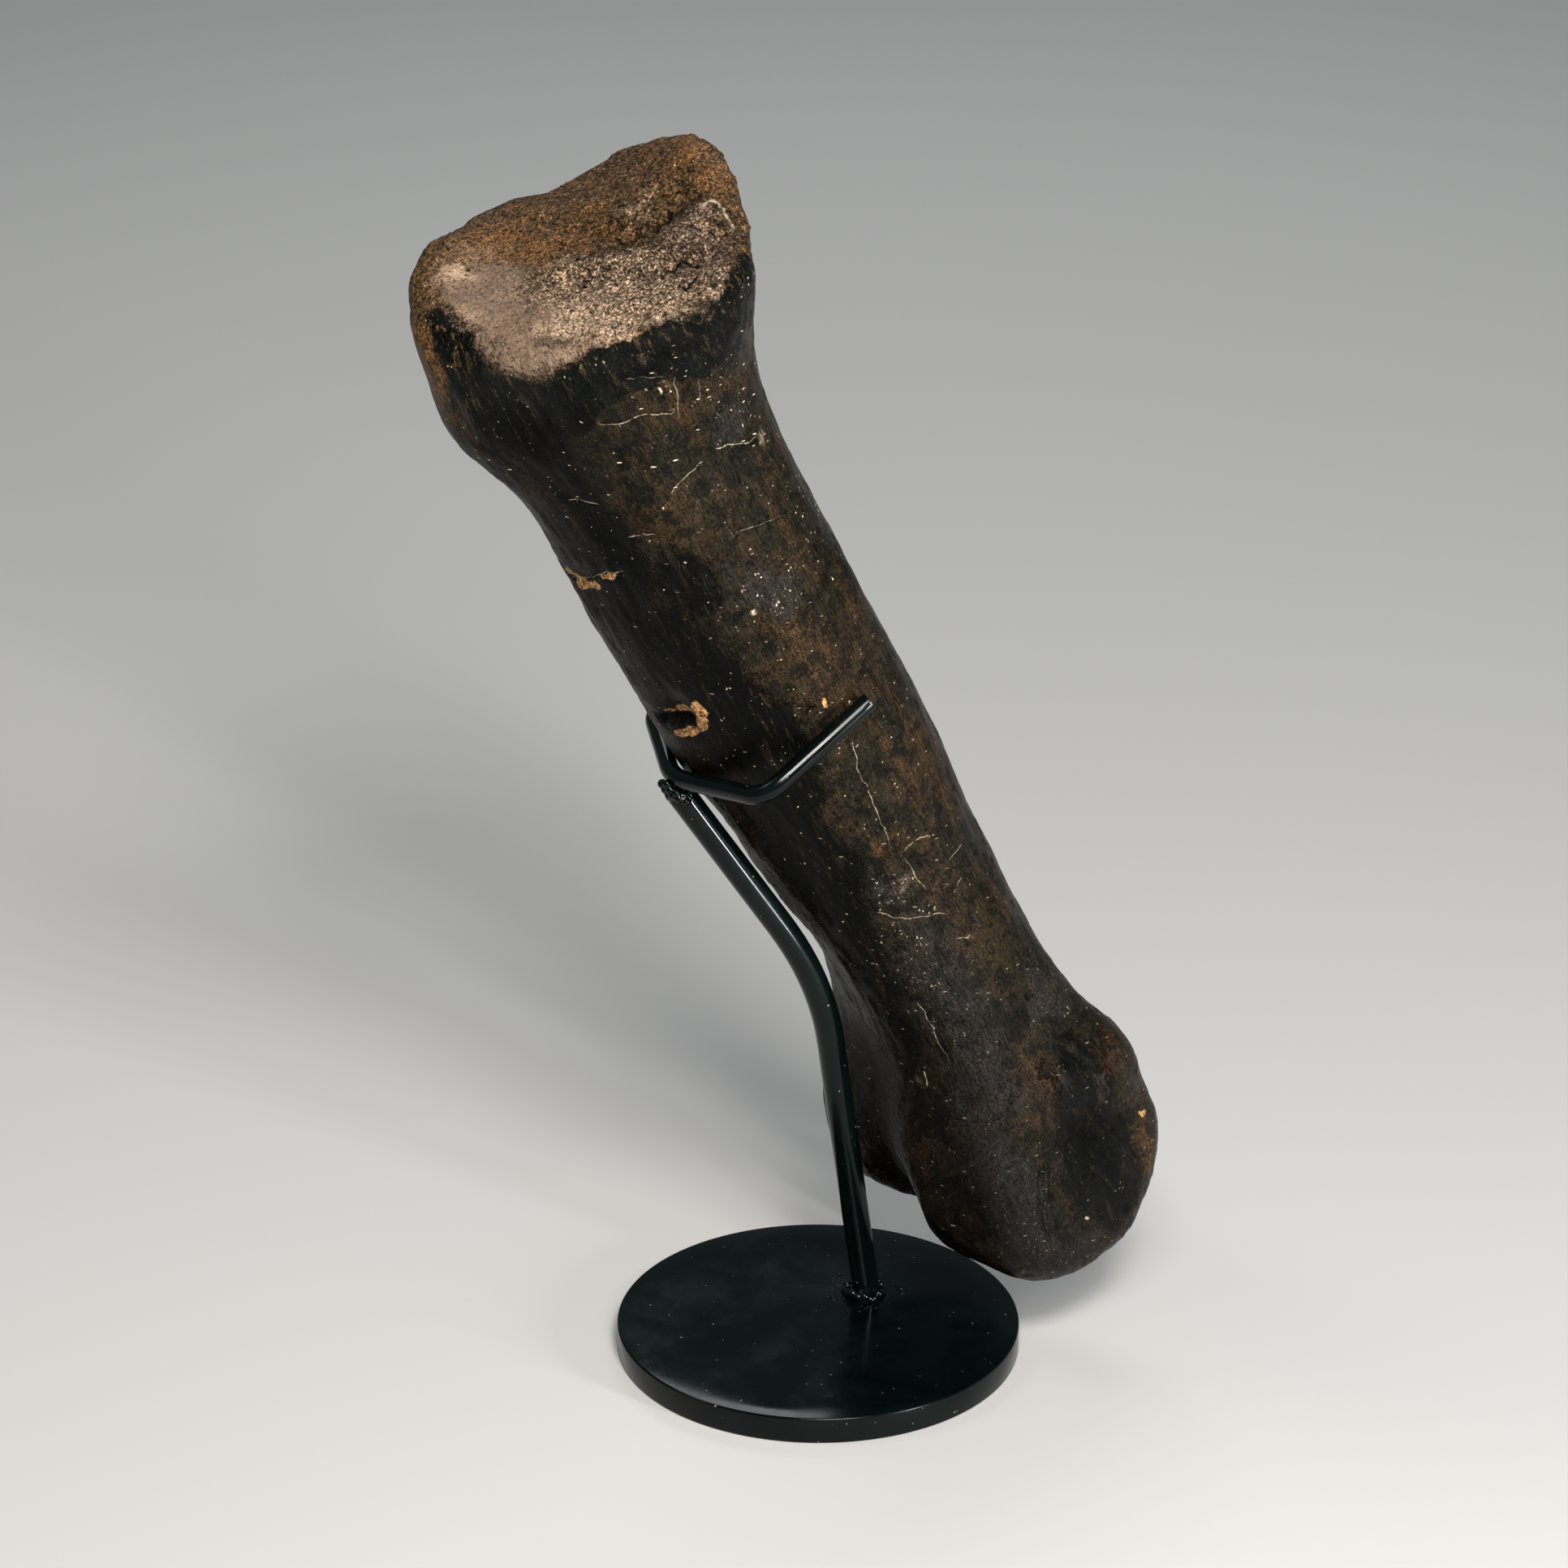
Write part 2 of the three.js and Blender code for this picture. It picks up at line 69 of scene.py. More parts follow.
POST_FOOT_MM = (17.2, 19.0, 9.5)
POST_ELBOW_MM = (1.0, -8.0, 143.0)
POST_TOP_IN_BONE_SPACE = (-46.6, -6.0, 186.5)
POST_ELBOW_ROUND_MM = 26.0
CRADLE_CORNERS_IN_BONE_SPACE = (
    (22.0, -39.5, 200.0),
    (-23.5, -49.0, 194.0),
    (-46.3, -4.0, 192.0),
    (-42.0, 42.0, 192.0),
    (12.0, 41.4, 199.0),
)
CRADLE_KINK_ROUND_MM = 8.0

# ---------- how finely things are made: lengths in metres, and counts ----------

MERGE_GAP = 1e-6
LEG_STEP = 0.004
BEND_PARTS = 12
ROD_SIDES = 40
ROD_UNEVENNESS = 0.00012
CUT_END_ROUND = 0.0004
PLATE_EDGE_ROUND = 0.0007
PLATE_SIDES = 160
WELD_CELL = 0.0003
SPATTER_CELL = 0.00022
ROD_INPUTS = {
    "Path": "Geometry",
    "Rod Diameter": "Float",
    "Sides": "Int",
    "Unevenness": "Float",
    "Seed": "Float",
    "Paint": "Material",
}

# Where the rods pass the shaft in mm, the distance that counts as far from a line in mm, the weight
# below which a layer is left out, and the lanes of noise that a line's wander is read from.
RODS_HEIGHT = 192.0
FAR = 9.0
TOO_FAINT = 0.02
SLOW_LANES = ((1.5, 0.0), (7.5, 0.0), (3.5, 9.0))
QUICK_LANES = ((4.5, 0.0), (8.5, 0.0), (2.5, 9.0))

# ---------- stains, painted shade and painted sheen: soft oval patches of colour, in bone space ---
# Each row is the middle, the reach along the three axes, and the strength.

# The black patches are partly dark mineral and partly painted shade.
BLACK_STAINS_AND_PAINTED_SHADE = (
    # painted shade: the shadowed zone under the front of the joint face and the hollow under its left side
    ((-35, -10, 375), (5, 10, 7), 1.2),
    ((-32, -25, 366), (7, 7, 9), 1.4),
    ((-34, -25, 352), (7, 9, 12), 1.5),
    ((-36, -23, 339), (7, 9, 10), 1.4),
    ((-28, -28, 348), (9, 9, 9), 1.2),
    ((-6, -44, 344), (12, 8, 7), 0.75),
    ((16, -47, 346), (20, 12, 6), 1.2),
    ((34, -42, 341), (14, 14, 14), 1.3),
    ((2, -46, 351), (9, 10, 5), 0.9),
    ((-38, -21, 363), (7, 9, 11), 1.5),
    ((-37, -25, 347), (9, 14, 16), 1.5),
    ((-32, -27, 332), (9, 12, 12), 1.2),
    ((-16, -39, 344), (9, 10, 7), 1.0),
    # dark clouds down the shaft, painted shade where they lie on its underside
    ((-27, -27, 312), (8, 10, 9), 0.9),
    ((-24, -28, 290), (7, 9, 14), 1.1),
    ((-32, -22, 256), (12, 15, 22), 1.5),
    ((-8, -38, 268), (9, 9, 14), 1.1),
    ((-22, -30, 232), (13, 12, 16), 1.3),
    ((-14, -34, 205), (16, 12, 20), 1.1),
    ((-21, -30, 160), (13, 14, 34), 1.8),
    ((-26, -24, 96), (10, 16, 34), 1.7),
    ((10, 38, 210), (18, 14, 40), 1.0),
    ((-20, 34, 120), (18, 14, 34), 1.1),
    ((26, 30, 150), (14, 14, 30), 0.8),
    # painted shade in the slot of the notch, the pit of the near knuckle and the hollow above it
    ((-37, -14, 216), (6, 8, 2.6), 1.6),
    ((14, -43, 2), (14, 13, 27), 1.9),
    ((20, -40, 34), (9, 10, 13), 1.2),
    ((-31, 53, 14), (13, 12, 17), 1.5),
    ((10, 46, -8), (14, 12, 12), 0.8),
)
OCHRE_STAINS = (
    ((-12, 20, 381), (13, 8, 10), 1.1),
    ((0, 8, 375), (15, 7, 8), 1.0),
    ((20, 6, 369), (13, 6, 8), 0.7),
    ((26, 34, 374), (42, 22, 22), 0.35),
    ((60, 22, 366), (12, 18, 20), 0.45),
    ((-46, -2, 364), (7, 16, 18), 1.0),
    ((2, -41, 322), (14, 12, 8), 0.35),
    ((-38, -14, 314), (10, 12, 9), 0.7),
    ((8, -38, 237), (15, 8, 4.5), 0.4),
    ((-6, -38, 298), (12, 8, 8), 0.35),
    ((34, -18, 226), (9, 14, 20), 0.3),
    ((20, -30, 228), (8, 8, 10), 0.2),
    ((3, -36, 145), (6, 6, 8), 0.5),
    ((2, -37, 172), (7, 7, 22), 0.35),
    ((-38, -34, 34), (11, 16, 20), 0.55),
    ((30, -33, -17), (7, 9, 20), 0.9),
    ((8, -36, -38), (16, 12, 8), 0.4),
    ((-24, -50, 12), (4, 6, 10), 0.5),
    ((-10, 44, 30), (16, 14, 26), 0.8),
    ((30, 26, 320), (16, 18, 20), 0.8),
    ((-20, 34, 262), (14, 14, 26), 0.6),
)
DUSK_STAINS = (
    # the smooth pale skin of the joint face's left half and its lower edge
    ((-20, -4, 377), (13, 19, 13), 1.2),
    ((-18, -27, 369), (13, 11, 9), 1.1),
    ((-8, -38, 364), (14, 10, 7), 0.8),
    ((12, -34, 363), (32, 18, 11), 1.2),
    ((47, -17, 358), (14, 15, 11), 0.55),
    ((40, -5, 363), (15, 8, 8), 0.45),
)
# Grey patches: grey skin, and painted sheen where light catches the front's right side, the right edge and
# the near knuckle's ridge.
GREY_STAINS_AND_PAINTED_SHEEN = (
    ((28, -33, 308), (11, 10, 8), 1.0),
    ((39, -14, 258), (6, 9, 22), 0.9),
    ((12, -38, 252), (11, 9, 12), 1.0),
    ((1, -37, 131), (7, 7, 8), 0.8),
    ((-4, -40, 96), (18, 12, 30), 0.8),
    ((27, -32, 62), (9, 11, 11), 1.2),
    ((-12, -48, 52), (16, 14, 18), 0.9),
    ((-20, -55, 24), (10, 10, 12), 1.0),
    ((-19, -56, 3), (12, 11, 15), 1.2),
    ((-14, -46, -28), (20, 14, 14), 0.9),
    ((0, 40, 280), (20, 14, 36), 0.8),
    ((-4, 58, 16), (14, 12, 20), 0.8),
)
CHALK_STAINS = (
    ((12, -35, 363), (19, 13, 9), 1.0),
    ((34, -38, 356), (18, 10, 8), 0.45),
    ((24, -20, 363), (28, 11, 9), 0.35),
    ((4, -26, 368), (9, 12, 8), 0.5),
    ((4, -8, 370), (13, 8, 8), 0.75),
    ((18, -13, 366), (11, 7, 7), 0.5),
    ((50, -6, 361), (8, 10, 7), 0.35),
    ((-23, 8, 381), (5, 6, 7), 0.75),
    ((-29, -13, 374), (6, 10, 9), 0.35),
    ((34, 12, 368), (12, 6, 7), 0.35),
    ((1, -37, 132), (3, 4, 4), 0.9),
    ((33, -26, 295), (2, 3, 2.6), 1.2),
    ((-24, -33, 58), (1.1, 2, 2.6), 1.3),
)
GOLD_STAINS = (
    # the strip on the underside's edge
    ((-41.5, -5, 277), (1.6, 3, 2.6), 1.0),
    ((-40, -9, 273), (2.2, 3.5, 1.5), 1.6),
    ((-36.5, -15, 274), (2.4, 4, 1.2), 1.5),
    ((-31, -22, 277.5), (3.2, 4, 1.0), 1.2),
    # the ring round the notch, open at the edge
    ((-36, -14, 220), (2.8, 4, 1.0), 1.2),
    ((-31, -20, 221.5), (2.2, 4, 1.7), 1.7),
    ((-27.5, -25, 223.5), (1.5, 3, 2.0), 1.9),
    ((-27, -26, 219.5), (1.3, 3, 2.6), 1.9),
    ((-29, -24.5, 215.5), (1.5, 3, 2.2), 1.7),
    ((-32.5, -20, 212.5), (1.9, 3, 1.6), 1.9),
    ((-36.5, -15, 211), (2.4, 3, 1.3), 1.6),
    ((9, -38, 206.5), (0.9, 3, 2.6), 1.3),
    ((33.5, -34, 7.5), (0.6, 3, 0.5), 1.4),
    ((35.5, -32.5, 4.5), (0.7, 3, 0.5), 1.4),
    ((34, -33.5, 2), (1.1, 3, 0.5), 1.5),
    ((36.5, -31.5, 6.5), (0.5, 3, 0.6), 1.4),
    ((35.5, -32, 0), (1.6, 3, 0.5), 1.5),
    ((-8, 42, 150), (3, 4, 5), 1.0),
)
RED_STAINS = (
    ((18, -34, 214), (7, 7, 4), 0.6),
    ((33, -36, 33), (9, 10, 9), 0.6),
    ((-16, -36, 296), (9, 8, 8), 0.45),
    ((-30, -30, 326), (6, 8, 5), 0.45),
    ((38, -12, 286), (6, 8, 10), 0.7),
    ((22, -30, 150), (7, 8, 12), 0.45),
    ((36, -20, 100), (7, 8, 16), 0.7),
    ((-37, -32, 26), (6, 9, 8), 0.9),
)
STAINS_AND_PAINTED_LIGHT = {
    "black": BLACK_STAINS_AND_PAINTED_SHADE,
    "ochre": OCHRE_STAINS,
    "grey": GREY_STAINS_AND_PAINTED_SHEEN,
    "dusk": DUSK_STAINS,
    "chalk": CHALK_STAINS,
    "gold": GOLD_STAINS,
    "red": RED_STAINS,
}

# ---------- marks: lines that run over the skin, in bone space ----------
# Each has its points, width and depth in mm, the step from one side to the other, and how pale
# (above zero) or dark (below zero) its line is. The dark lines of the crevices, creases and slot are
# painted shade.

MARKS = (
    # crevices of the joint face, their dark lines painted shade
    (((25, 4, 368), (29, -5, 365), (36, -4, 365), (40, 0, 365), (44, 5, 365)), 5.0, 3.2, 2.8, -1.4),
    (((33, -22, 360), (38, -19, 361), (42, -23, 358), (48, -25, 357)), 4.2, 2.8, 2.6, -1.4),
    (((8, -12, 367), (16, -16, 365), (24, -15, 364)), 3.4, 2.0, 2.0, -1.1),
    (((-6, -4, 374), (2, -10, 371), (12, -9, 369)), 1.6, 1.0, 0.9, -0.5),
    (((20, -30, 359), (26, -34, 357), (34, -36, 354), (41, -34, 354)), 2.2, 1.6, 1.4, -0.8),
    (((46, -8, 361), (52, -12, 359), (56, -18, 357)), 1.8, 1.4, 1.2, -0.7),
    # dark smudge on the smooth part of the joint face
    (((-15, -34, 366), (-9, -38, 365), (-3, -41, 363)), 8.0, 0.3, 0.0, -0.45),
    # small white spots
    (((3.6, -39, 250.6), (3.2, -39, 247.6)), 3.2, 0.2, 0.0, 1.5),
    (((0.2, -44.6, -16.4), (0.8, -44.6, -18)), 2.4, 0.2, 0.0, 1.3),
    (((12, -43, 336), (12, -43, 333.8)), 2.0, 0.2, 0.0, 1.5),
    # cream seam near the high corner
    (
        ((50, 0, 363), (53, 0, 362), (57, 2, 362), (58, -3, 360), (58, -7, 359), (59, -12, 358)),
        2.4, 0.3, 0.0, 1.4,
    ),
    # pale hair cracks under the head
    (((-10, -42, 336), (-5, -42, 332), (3, -43, 331), (14, -42, 324)), 0.7, 0.4, 0.3, 0.9),
    (((5, -45, 345), (10, -44, 341), (16, -43, 338)), 0.6, 0.3, 0.2, 0.7),
    (((18, -43, 337), (16, -42, 330), (13, -42, 322)), 0.8, 0.4, 0.0, 0.6),
    (((24, -40, 332), (21, -41, 323)), 0.8, 0.4, 0.0, 0.5),
    (((19, -37, 305), (25, -33, 301), (30, -29, 297), (32, -27, 297)), 0.7, 0.5, 0.8, 1.2),
    (((14, -38, 304), (6, -39, 303), (-1, -40, 301)), 0.6, 0.4, 0.2, 1.1),
    (((-20, -31, 291), (-15, -35, 291), (-10, -37, 290)), 0.6, 0.3, 0.2, 0.9),
    (((-30, -24, 309), (-26, -27, 308), (-22, -29, 305)), 0.6, 0.3, 0.2, 0.8),
    (((11, -38, 276), (17, -35, 274), (27, -30, 269)), 0.7, 0.3, 0.2, 0.6),
    (((-26, -28, 279), (-31, -22, 279), (-36, -16, 277)), 0.9, 0.6, 0.4, 0.7),
    # the long gold crack below the cradle, its branch and its lower half
    (((11, -37, 190), (8, -37, 178), (7, -36, 166), (6, -36, 155), (5, -36, 145)), 0.7, 0.7, 0.4, 1.0),
    (((7, -35, 139), (7, -34, 130), (8, -34, 123)), 0.7, 0.7, 0.5, 1.1),
    (((8, -35, 141), (15, -33, 142), (20, -31, 138)), 0.6, 0.5, 0.3, 1.0),
    (((19, -30, 127), (23, -27, 127), (26, -24, 126)), 0.6, 0.3, 0.2, 0.7),
    (((15, -33, 116), (18, -31, 118), (20, -29, 118)), 0.6, 0.3, 0.2, 0.8),
    (((-10, -33, 126), (-6, -35, 121), (3, -36, 116), (10, -35, 112)), 0.8, 0.6, 0.6, 0.6),
    (((9, -37, 104), (13, -36, 100)), 0.8, 0.3, 0.2, 0.7),
    (((-13, -36, 90), (-13, -38, 80), (-14, -39, 70), (-14, -40, 63)), 0.6, 0.4, 0.2, 0.9),
    (((-23, -33, 61), (-25, -33, 56)), 1.0, 0.2, 0.0, 1.3),
    # creases of the near knuckle, their dark lines painted shade
    (((-5, -54, 17), (-11, -53, 5), (-14, -52, -9)), 1.5, 1.0, 0.7, -0.9),
    (((-2, -53, 14), (-7, -53, 2), (-10, -51, -14)), 1.3, 0.5, -0.4, -0.4),
    # the notch's slot, its dark line painted shade, and the chip on the underside edge
    (((-41, -7, 216), (-36, -15, 217), (-30, -23, 218)), 1.8, 2.2, 0.4, -1.2),
    (((-43, -3, 274), (-40, -9, 275), (-36, -15, 277)), 1.4, 0.9, 0.6, 0.5),
    # cracks on the hidden sides
    (((14, 38, 270), (8, 39, 250), (10, 38, 232), (4, 38, 214)), 0.8, 0.5, 0.3, 0.8),
    (((-20, 33, 180), (-10, 37, 172), (2, 38, 174)), 0.8, 0.5, 0.3, 0.7),
    (((38, 6, 180), (37, 10, 160), (36, 4, 142), (35, 6, 128)), 0.7, 0.5, 0.3, 0.8),
    (((-30, 20, 330), (-22, 32, 322), (-12, 38, 318)), 0.8, 0.4, 0.3, 0.7),
    (((-38, 8, 140), (-35, 10, 120), (-33, 4, 104)), 0.8, 0.5, 0.3, 0.6),
)

# The edge where the joint face's pale crust ends: each point, and how proud the crust stands there.
CRUST_EDGE = (
    ((-32, 0, 381), 0.1),
    ((-31, -13, 378), 0.2),
    ((-29, -22, 372), 0.3),
    ((-29, -27, 366), 0.3),
    ((-28, -30, 362), 0.3),
    ((-23, -34, 358), 0.3),
    ((-14, -41, 359), 0.4),
    ((-5, -45, 359), 0.8),
    ((1, -46, 360), 1.3),
    ((12, -48, 358), 1.6),
    ((24, -48, 357), 1.7),
    ((28, -49, 354), 1.6),
    ((34, -47, 350), 1.6),
    ((40, -45, 352), 1.5),
    ((47, -40, 354), 1.2),
    ((52, -32, 355), 0.9),
    ((57, -22, 356), 0.6),
)

# Patches where the skin is broken and grainy instead of smooth.
GRAINY_PATCHES = (
    ((24, -30, 361), (27, 20, 16), 1.0),
    ((44, -20, 357), (18, 24, 12), 0.9),
    ((26, 0, 367), (34, 24, 12), 0.6),
    ((4, -10, 370), (14, 10, 9), 0.7),
    ((42, -5, 363), (16, 10, 9), 0.6),
    ((30, 32, 374), (42, 24, 18), 0.35),
    ((14, -43, 6), (13, 14, 24), 0.5),
    ((-36, -16, 217), (8, 12, 7), 0.6),
    ((-30, 52, 14), (14, 14, 18), 0.5),
    ((10, 34, -14), (22, 20, 16), 0.3),
)
# Patches worn or broken down below the skin around them: middle, reach and depth in mm.
SUNK_PATCHES = (
    ((-37, -14, 217), (6, 9, 5.5), 1.3),
    ((-40, -8, 274.5), (5, 8, 3.5), 0.8),
    ((9, -38, 203), (4, 5, 5.5), 0.5),
    ((44, 4, 364), (11, 8, 10), 0.9),
    ((30, 2, 366), (9, 7, 9), 0.7),
    ((40, -20, 360), (8, 6, 9), 0.6),
    ((14, -45, 4), (10, 9, 20), 1.4),
    ((28, -31, 308), (10, 10, 9), 0.4),
    ((-31, 54, 14), (9, 8, 12), 1.0),
)

# ---------- small helpers ----------


def smooth_step(low, high, value):
    """0 below low, 1 above high, and a smooth climb between them."""
    ratio = np.clip((value - low) / (high - low), 0.0, 1.0)
    return ratio * ratio * (3.0 - 2.0 * ratio)


def bone_frame():
    """Turns a point in bone space, in metres, to the row frame."""
    turn = Euler((BONE_ROLL, BONE_LEAN, BONE_TURN), "XYZ").to_matrix().to_4x4()
    return Matrix.Translation(Vector(BONE_ORIGIN_MM) * MM) @ turn


def from_bone_space(point_mm):
    """A point in bone space, in mm, as a place in the row frame, in metres."""
    return bone_frame() @ (Vector(point_mm) * MM)


def new_object(name, data):
    """An object at the origin, linked to the scene."""
    made = bpy.data.objects.new(name, data)
    bpy.context.scene.collection.objects.link(made)
    return made


def plain_piece(name, made):
    """Swaps an object with modifiers for a plain mesh piece of that name."""
    depsgraph = bpy.context.evaluated_depsgraph_get()
    depsgraph.update()
    evaluated = made.evaluated_get(depsgraph)
    mesh = bpy.data.meshes.new_from_object(evaluated, preserve_all_data_layers=True, depsgraph=depsgraph)
    mesh.name = name
    bpy.data.objects.remove(made)
    mesh.shade_smooth()
    return new_object(name, mesh)


def built_mesh(build, name):
    """What was built, as a mesh."""
    mesh = bpy.data.meshes.new(name)
    build.to_mesh(mesh)
    build.free()
    return mesh


def vertex_rows(items, key):
    """The vertices' places or normals as rows of numbers."""
    values = np.empty(len(items) * 3)
    items.foreach_get(key, values)
    return values.reshape(-1, 3)


def move_vertices(mesh, places):
    """Puts every vertex at its new place."""
    mesh.vertices.foreach_set("co", places.ravel())
    mesh.update()


# ---------- the bone's skin ----------


def merged_copy(node):
    """A CAD node's shape with its loose triangles joined into one skin of four-sided faces."""
    build = bmesh.new()
    build.from_mesh(node.data)
    bmesh.ops.remove_doubles(build, verts=build.verts, dist=MERGE_GAP)
    bmesh.ops.join_triangles(
        build,
        faces=build.faces,
        angle_face_threshold=math.radians(50),
        angle_shape_threshold=math.radians(70),
    )
    return built_mesh(build, node.name + "_copy")


def even_skin(node, cell):
    """The solid's shape rounded off and covered with small even faces."""
    made = new_object("fossil_bone", merged_copy(node))
    rounding = made.modifiers.new("rounding", "SUBSURF")
    rounding.levels = 2
    rounding.render_levels = 2
    cover = made.modifiers.new("cover", "REMESH")
    cover.mode = "VOXEL"
    cover.voxel_size = cell
    return plain_piece("fossil_bone", made)


def relax(mesh, rounds):
    """The vertices' places, moved halfway to the middle of their neighbours some times over."""
    ends = np.empty(len(mesh.edges) * 2, dtype=np.int64)
    mesh.edges.foreach_get("vertices", ends)
    ends = ends.reshape(-1, 2)
    here = np.concatenate((ends[:, 0], ends[:, 1]))
    there = np.concatenate((ends[:, 1], ends[:, 0]))
    places = vertex_rows(mesh.vertices, "co")
    count = np.bincount(here, minlength=len(places))[:, None]
    for _ in range(rounds):
        total = np.zeros_like(places)
        for axis in range(3):
            total[:, axis] = np.bincount(here, weights=places[there, axis], minlength=len(places))
        places = 0.5 * places + 0.5 * total / count
    return places


def patch_weight(places, patches):
    """The sum of soft oval patches at each place."""
    total = np.zeros(len(places))
    for middle, reach, strength in patches:
        away = (places - np.array(middle)) / np.array(reach)
        total += strength * np.exp(-np.sum(away * away, axis=1))
    return total


def waver(places, size, reach):
    """The places shifted about by slow noise, so that a patch's edge wanders."""
    shifted = places.copy()
    for axis in range(3):
        lift = 17.0 * axis + 5.0
        steps = [noise.noise(Vector((x + lift, y - lift, z)) / size) for x, y, z in places]
        shifted[:, axis] += reach * np.array(steps)
    return shifted


def joint_face_weight(places):
    """1 on the joint face at the head's end and 0 down the sides."""
    face = JOINT_FACE["z"] + JOINT_FACE["side_slope"] * (places[:, 0] - JOINT_FACE["x"])
    face += JOINT_FACE["back_slope"] * places[:, 1]
    return smooth_step(-17.0, -3.0, places[:, 2] - face)


def terraces(height, sharpness):
    """Turns a smooth height into flat steps with short slopes between them."""
    whole = math.floor(height)
    ratio = min(max((height - whole - 0.5) * sharpness + 0.5, 0.0), 1.0)
    return whole + ratio * ratio * (3.0 - 2.0 * ratio)


def grain_height(x, y, z, grainy, face):
    """How far the skin stands out at a place in bone space, in mm."""
    # what divides a place is about how many mm across that layer's swells are
    slow = noise.fractal(Vector((x, y, z * 0.7)) / 24.0, 1.0, 2.0, 2)
    fibre = noise.fractal(Vector((x / 4.0, y / 4.0, z / 34.0)), 0.9, 2.1, 2)
    fine = noise.noise(Vector((x, y, z * 0.6)) / 3.1)
    flakes = terraces(2.4 * noise.fractal(Vector((x / 15.0, y / 15.0, z / 40.0 + 9.0)), 1.0, 2.0, 3), 6.0)
    height = 0.5 * slow + 0.16 * fine
    height += (1.0 - face) * (0.3 * fibre + 0.26 * flakes)
    if face > TOO_FAINT:
        swell = noise.fractal(Vector((x / 11.0, y / 7.0, z / 7.0 + 5.0)), 0.9, 2.1, 3)
        folds = terraces(2.2 * noise.fractal(Vector((x / 20.0, y / 11.0, z / 11.0)), 0.9, 2.0, 3), 6.0)
        height += face * (0.6 * swell + 0.5 * folds)
    if grainy > TOO_FAINT:
        crust = noise.fractal(Vector((x + 40.0, y, z)) / 6.5, 0.8, 2.1, 3)
        ledges = terraces(2.6 * noise.fractal(Vector((x, y + 31.0, z)) / 17.0, 0.9, 2.0, 3), 5.0)
        height += min(grainy, 1.0) * (1.1 * crust + 1.5 * ledges)
    return height


def tapered(along, part):
    """0 at a line's two ends and 1 past that part of its length from them."""
    return smooth_step(0.0, part, along) * smooth_step(0.0, part, 1.0 - along)


def wander(seed, lanes):
    """A small shift that changes slowly with the seed."""
    return Vector([noise.noise((seed, *lane)) for lane in lanes])


def even_path(points, step, stray, tree):
    """The line as short steps that wander a little and lie on the skin, in bone-space mm."""
    path = []
    travelled = 0.0
    for start, end in zip(points[:-1], points[1:]):
        start = Vector(start)
        leg = Vector(end) - start
        parts = max(1, round(leg.length / step))
        for part in range(parts):
            path.append((start + leg * (part / parts), travelled + leg.length * part / parts))
        travelled += leg.length
    path.append((Vector(points[-1]), travelled))
    laid = []
    for place, along in path:
        seed = points[0][2] * 0.37 + along / 3.4
        shift = wander(seed, SLOW_LANES) + 0.4 * wander(3.1 * seed, QUICK_LANES)
        laid.append(tree.find_nearest(place + stray * shift)[:2])
    return laid


def line_distances(places, laid):
    """The signed distance to the line, how far along it the nearest point is, and 0 past its ends."""
    best = np.full(len(places), 1e9)
    signed = np.full(len(places), FAR)
    along = np.zeros(len(places))
    inside = np.zeros(len(places))
    last = len(laid) - 2
    for index, ((start, normal), (end, _)) in enumerate(zip(laid[:-1], laid[1:])):
        leg = np.array(end - start)
        length = float(np.linalg.norm(leg))
        if length < 1e-6:
            continue
        away = places - np.array(start)
        ratio = away @ leg / length**2
        held = np.clip(ratio, 0.0, 1.0)
        offset = away - held[:, None] * leg
        distance = np.linalg.norm(offset, axis=1)
        nearer = distance < best
        side = np.sign(offset @ np.cross(leg / length, np.array(normal)))
        best = np.where(nearer, distance, best)
        signed = np.where(nearer, distance * side, signed)
        along = np.where(nearer, (index + held) / (last + 1), along)
        past_end = ((index == 0) & (ratio < 0.0)) | ((index == last) & (ratio > 1.0))
        inside = np.where(nearer, np.where(past_end, 0.0, 1.0), inside)
    return signed, along, inside


def near_line(places, points, tree, step, stray, reach):
    """Which places lie near a line over the skin, and their distances from it."""
    laid = even_path(points, step, stray, tree)
    corners = np.array([place for place, _ in laid])
    low = corners.min(axis=0) - reach
    high = corners.max(axis=0) + reach
    chosen = np.nonzero(np.all((places > low) & (places < high), axis=1))[0]
    return chosen, *line_distances(places[chosen], laid)


def lay_marks(places, tree, depth_scale):
    """The depth that the marks cut, and the line, tone and width that their colour follows."""
    cut = np.zeros(len(places))
    line = np.full(len(places), FAR)
    tone = np.zeros(len(places))
    width = np.full(len(places), 0.5)
    for points, mark_width, depth, step, mark_tone in MARKS:
        chosen, signed, along, inside = near_line(places, points, tree, step=1.1, stray=0.8, reach=7.0)
        taper = tapered(along, 0.12)
        away = np.abs(signed)
        groove = depth * np.exp(-((away / (0.75 * mark_width + 0.35)) ** 2))
        ledge = 0.5 * step * np.tanh(signed / 0.9) * np.exp(-((away / 4.5) ** 2))
        cut[chosen] += depth_scale * (groove * inside - ledge) * np.maximum(taper, 0.15 * inside)
        nearer = away < np.abs(line[chosen])
        picked = chosen[nearer]
        line[picked] = signed[nearer]
        width[picked] = mark_width
        strength = mark_tone * inside * smooth_step(2.6, 1.6, away)
        tone[picked] = strength[nearer] * (0.35 + 0.65 * taper[nearer])
    return cut, line, tone, width


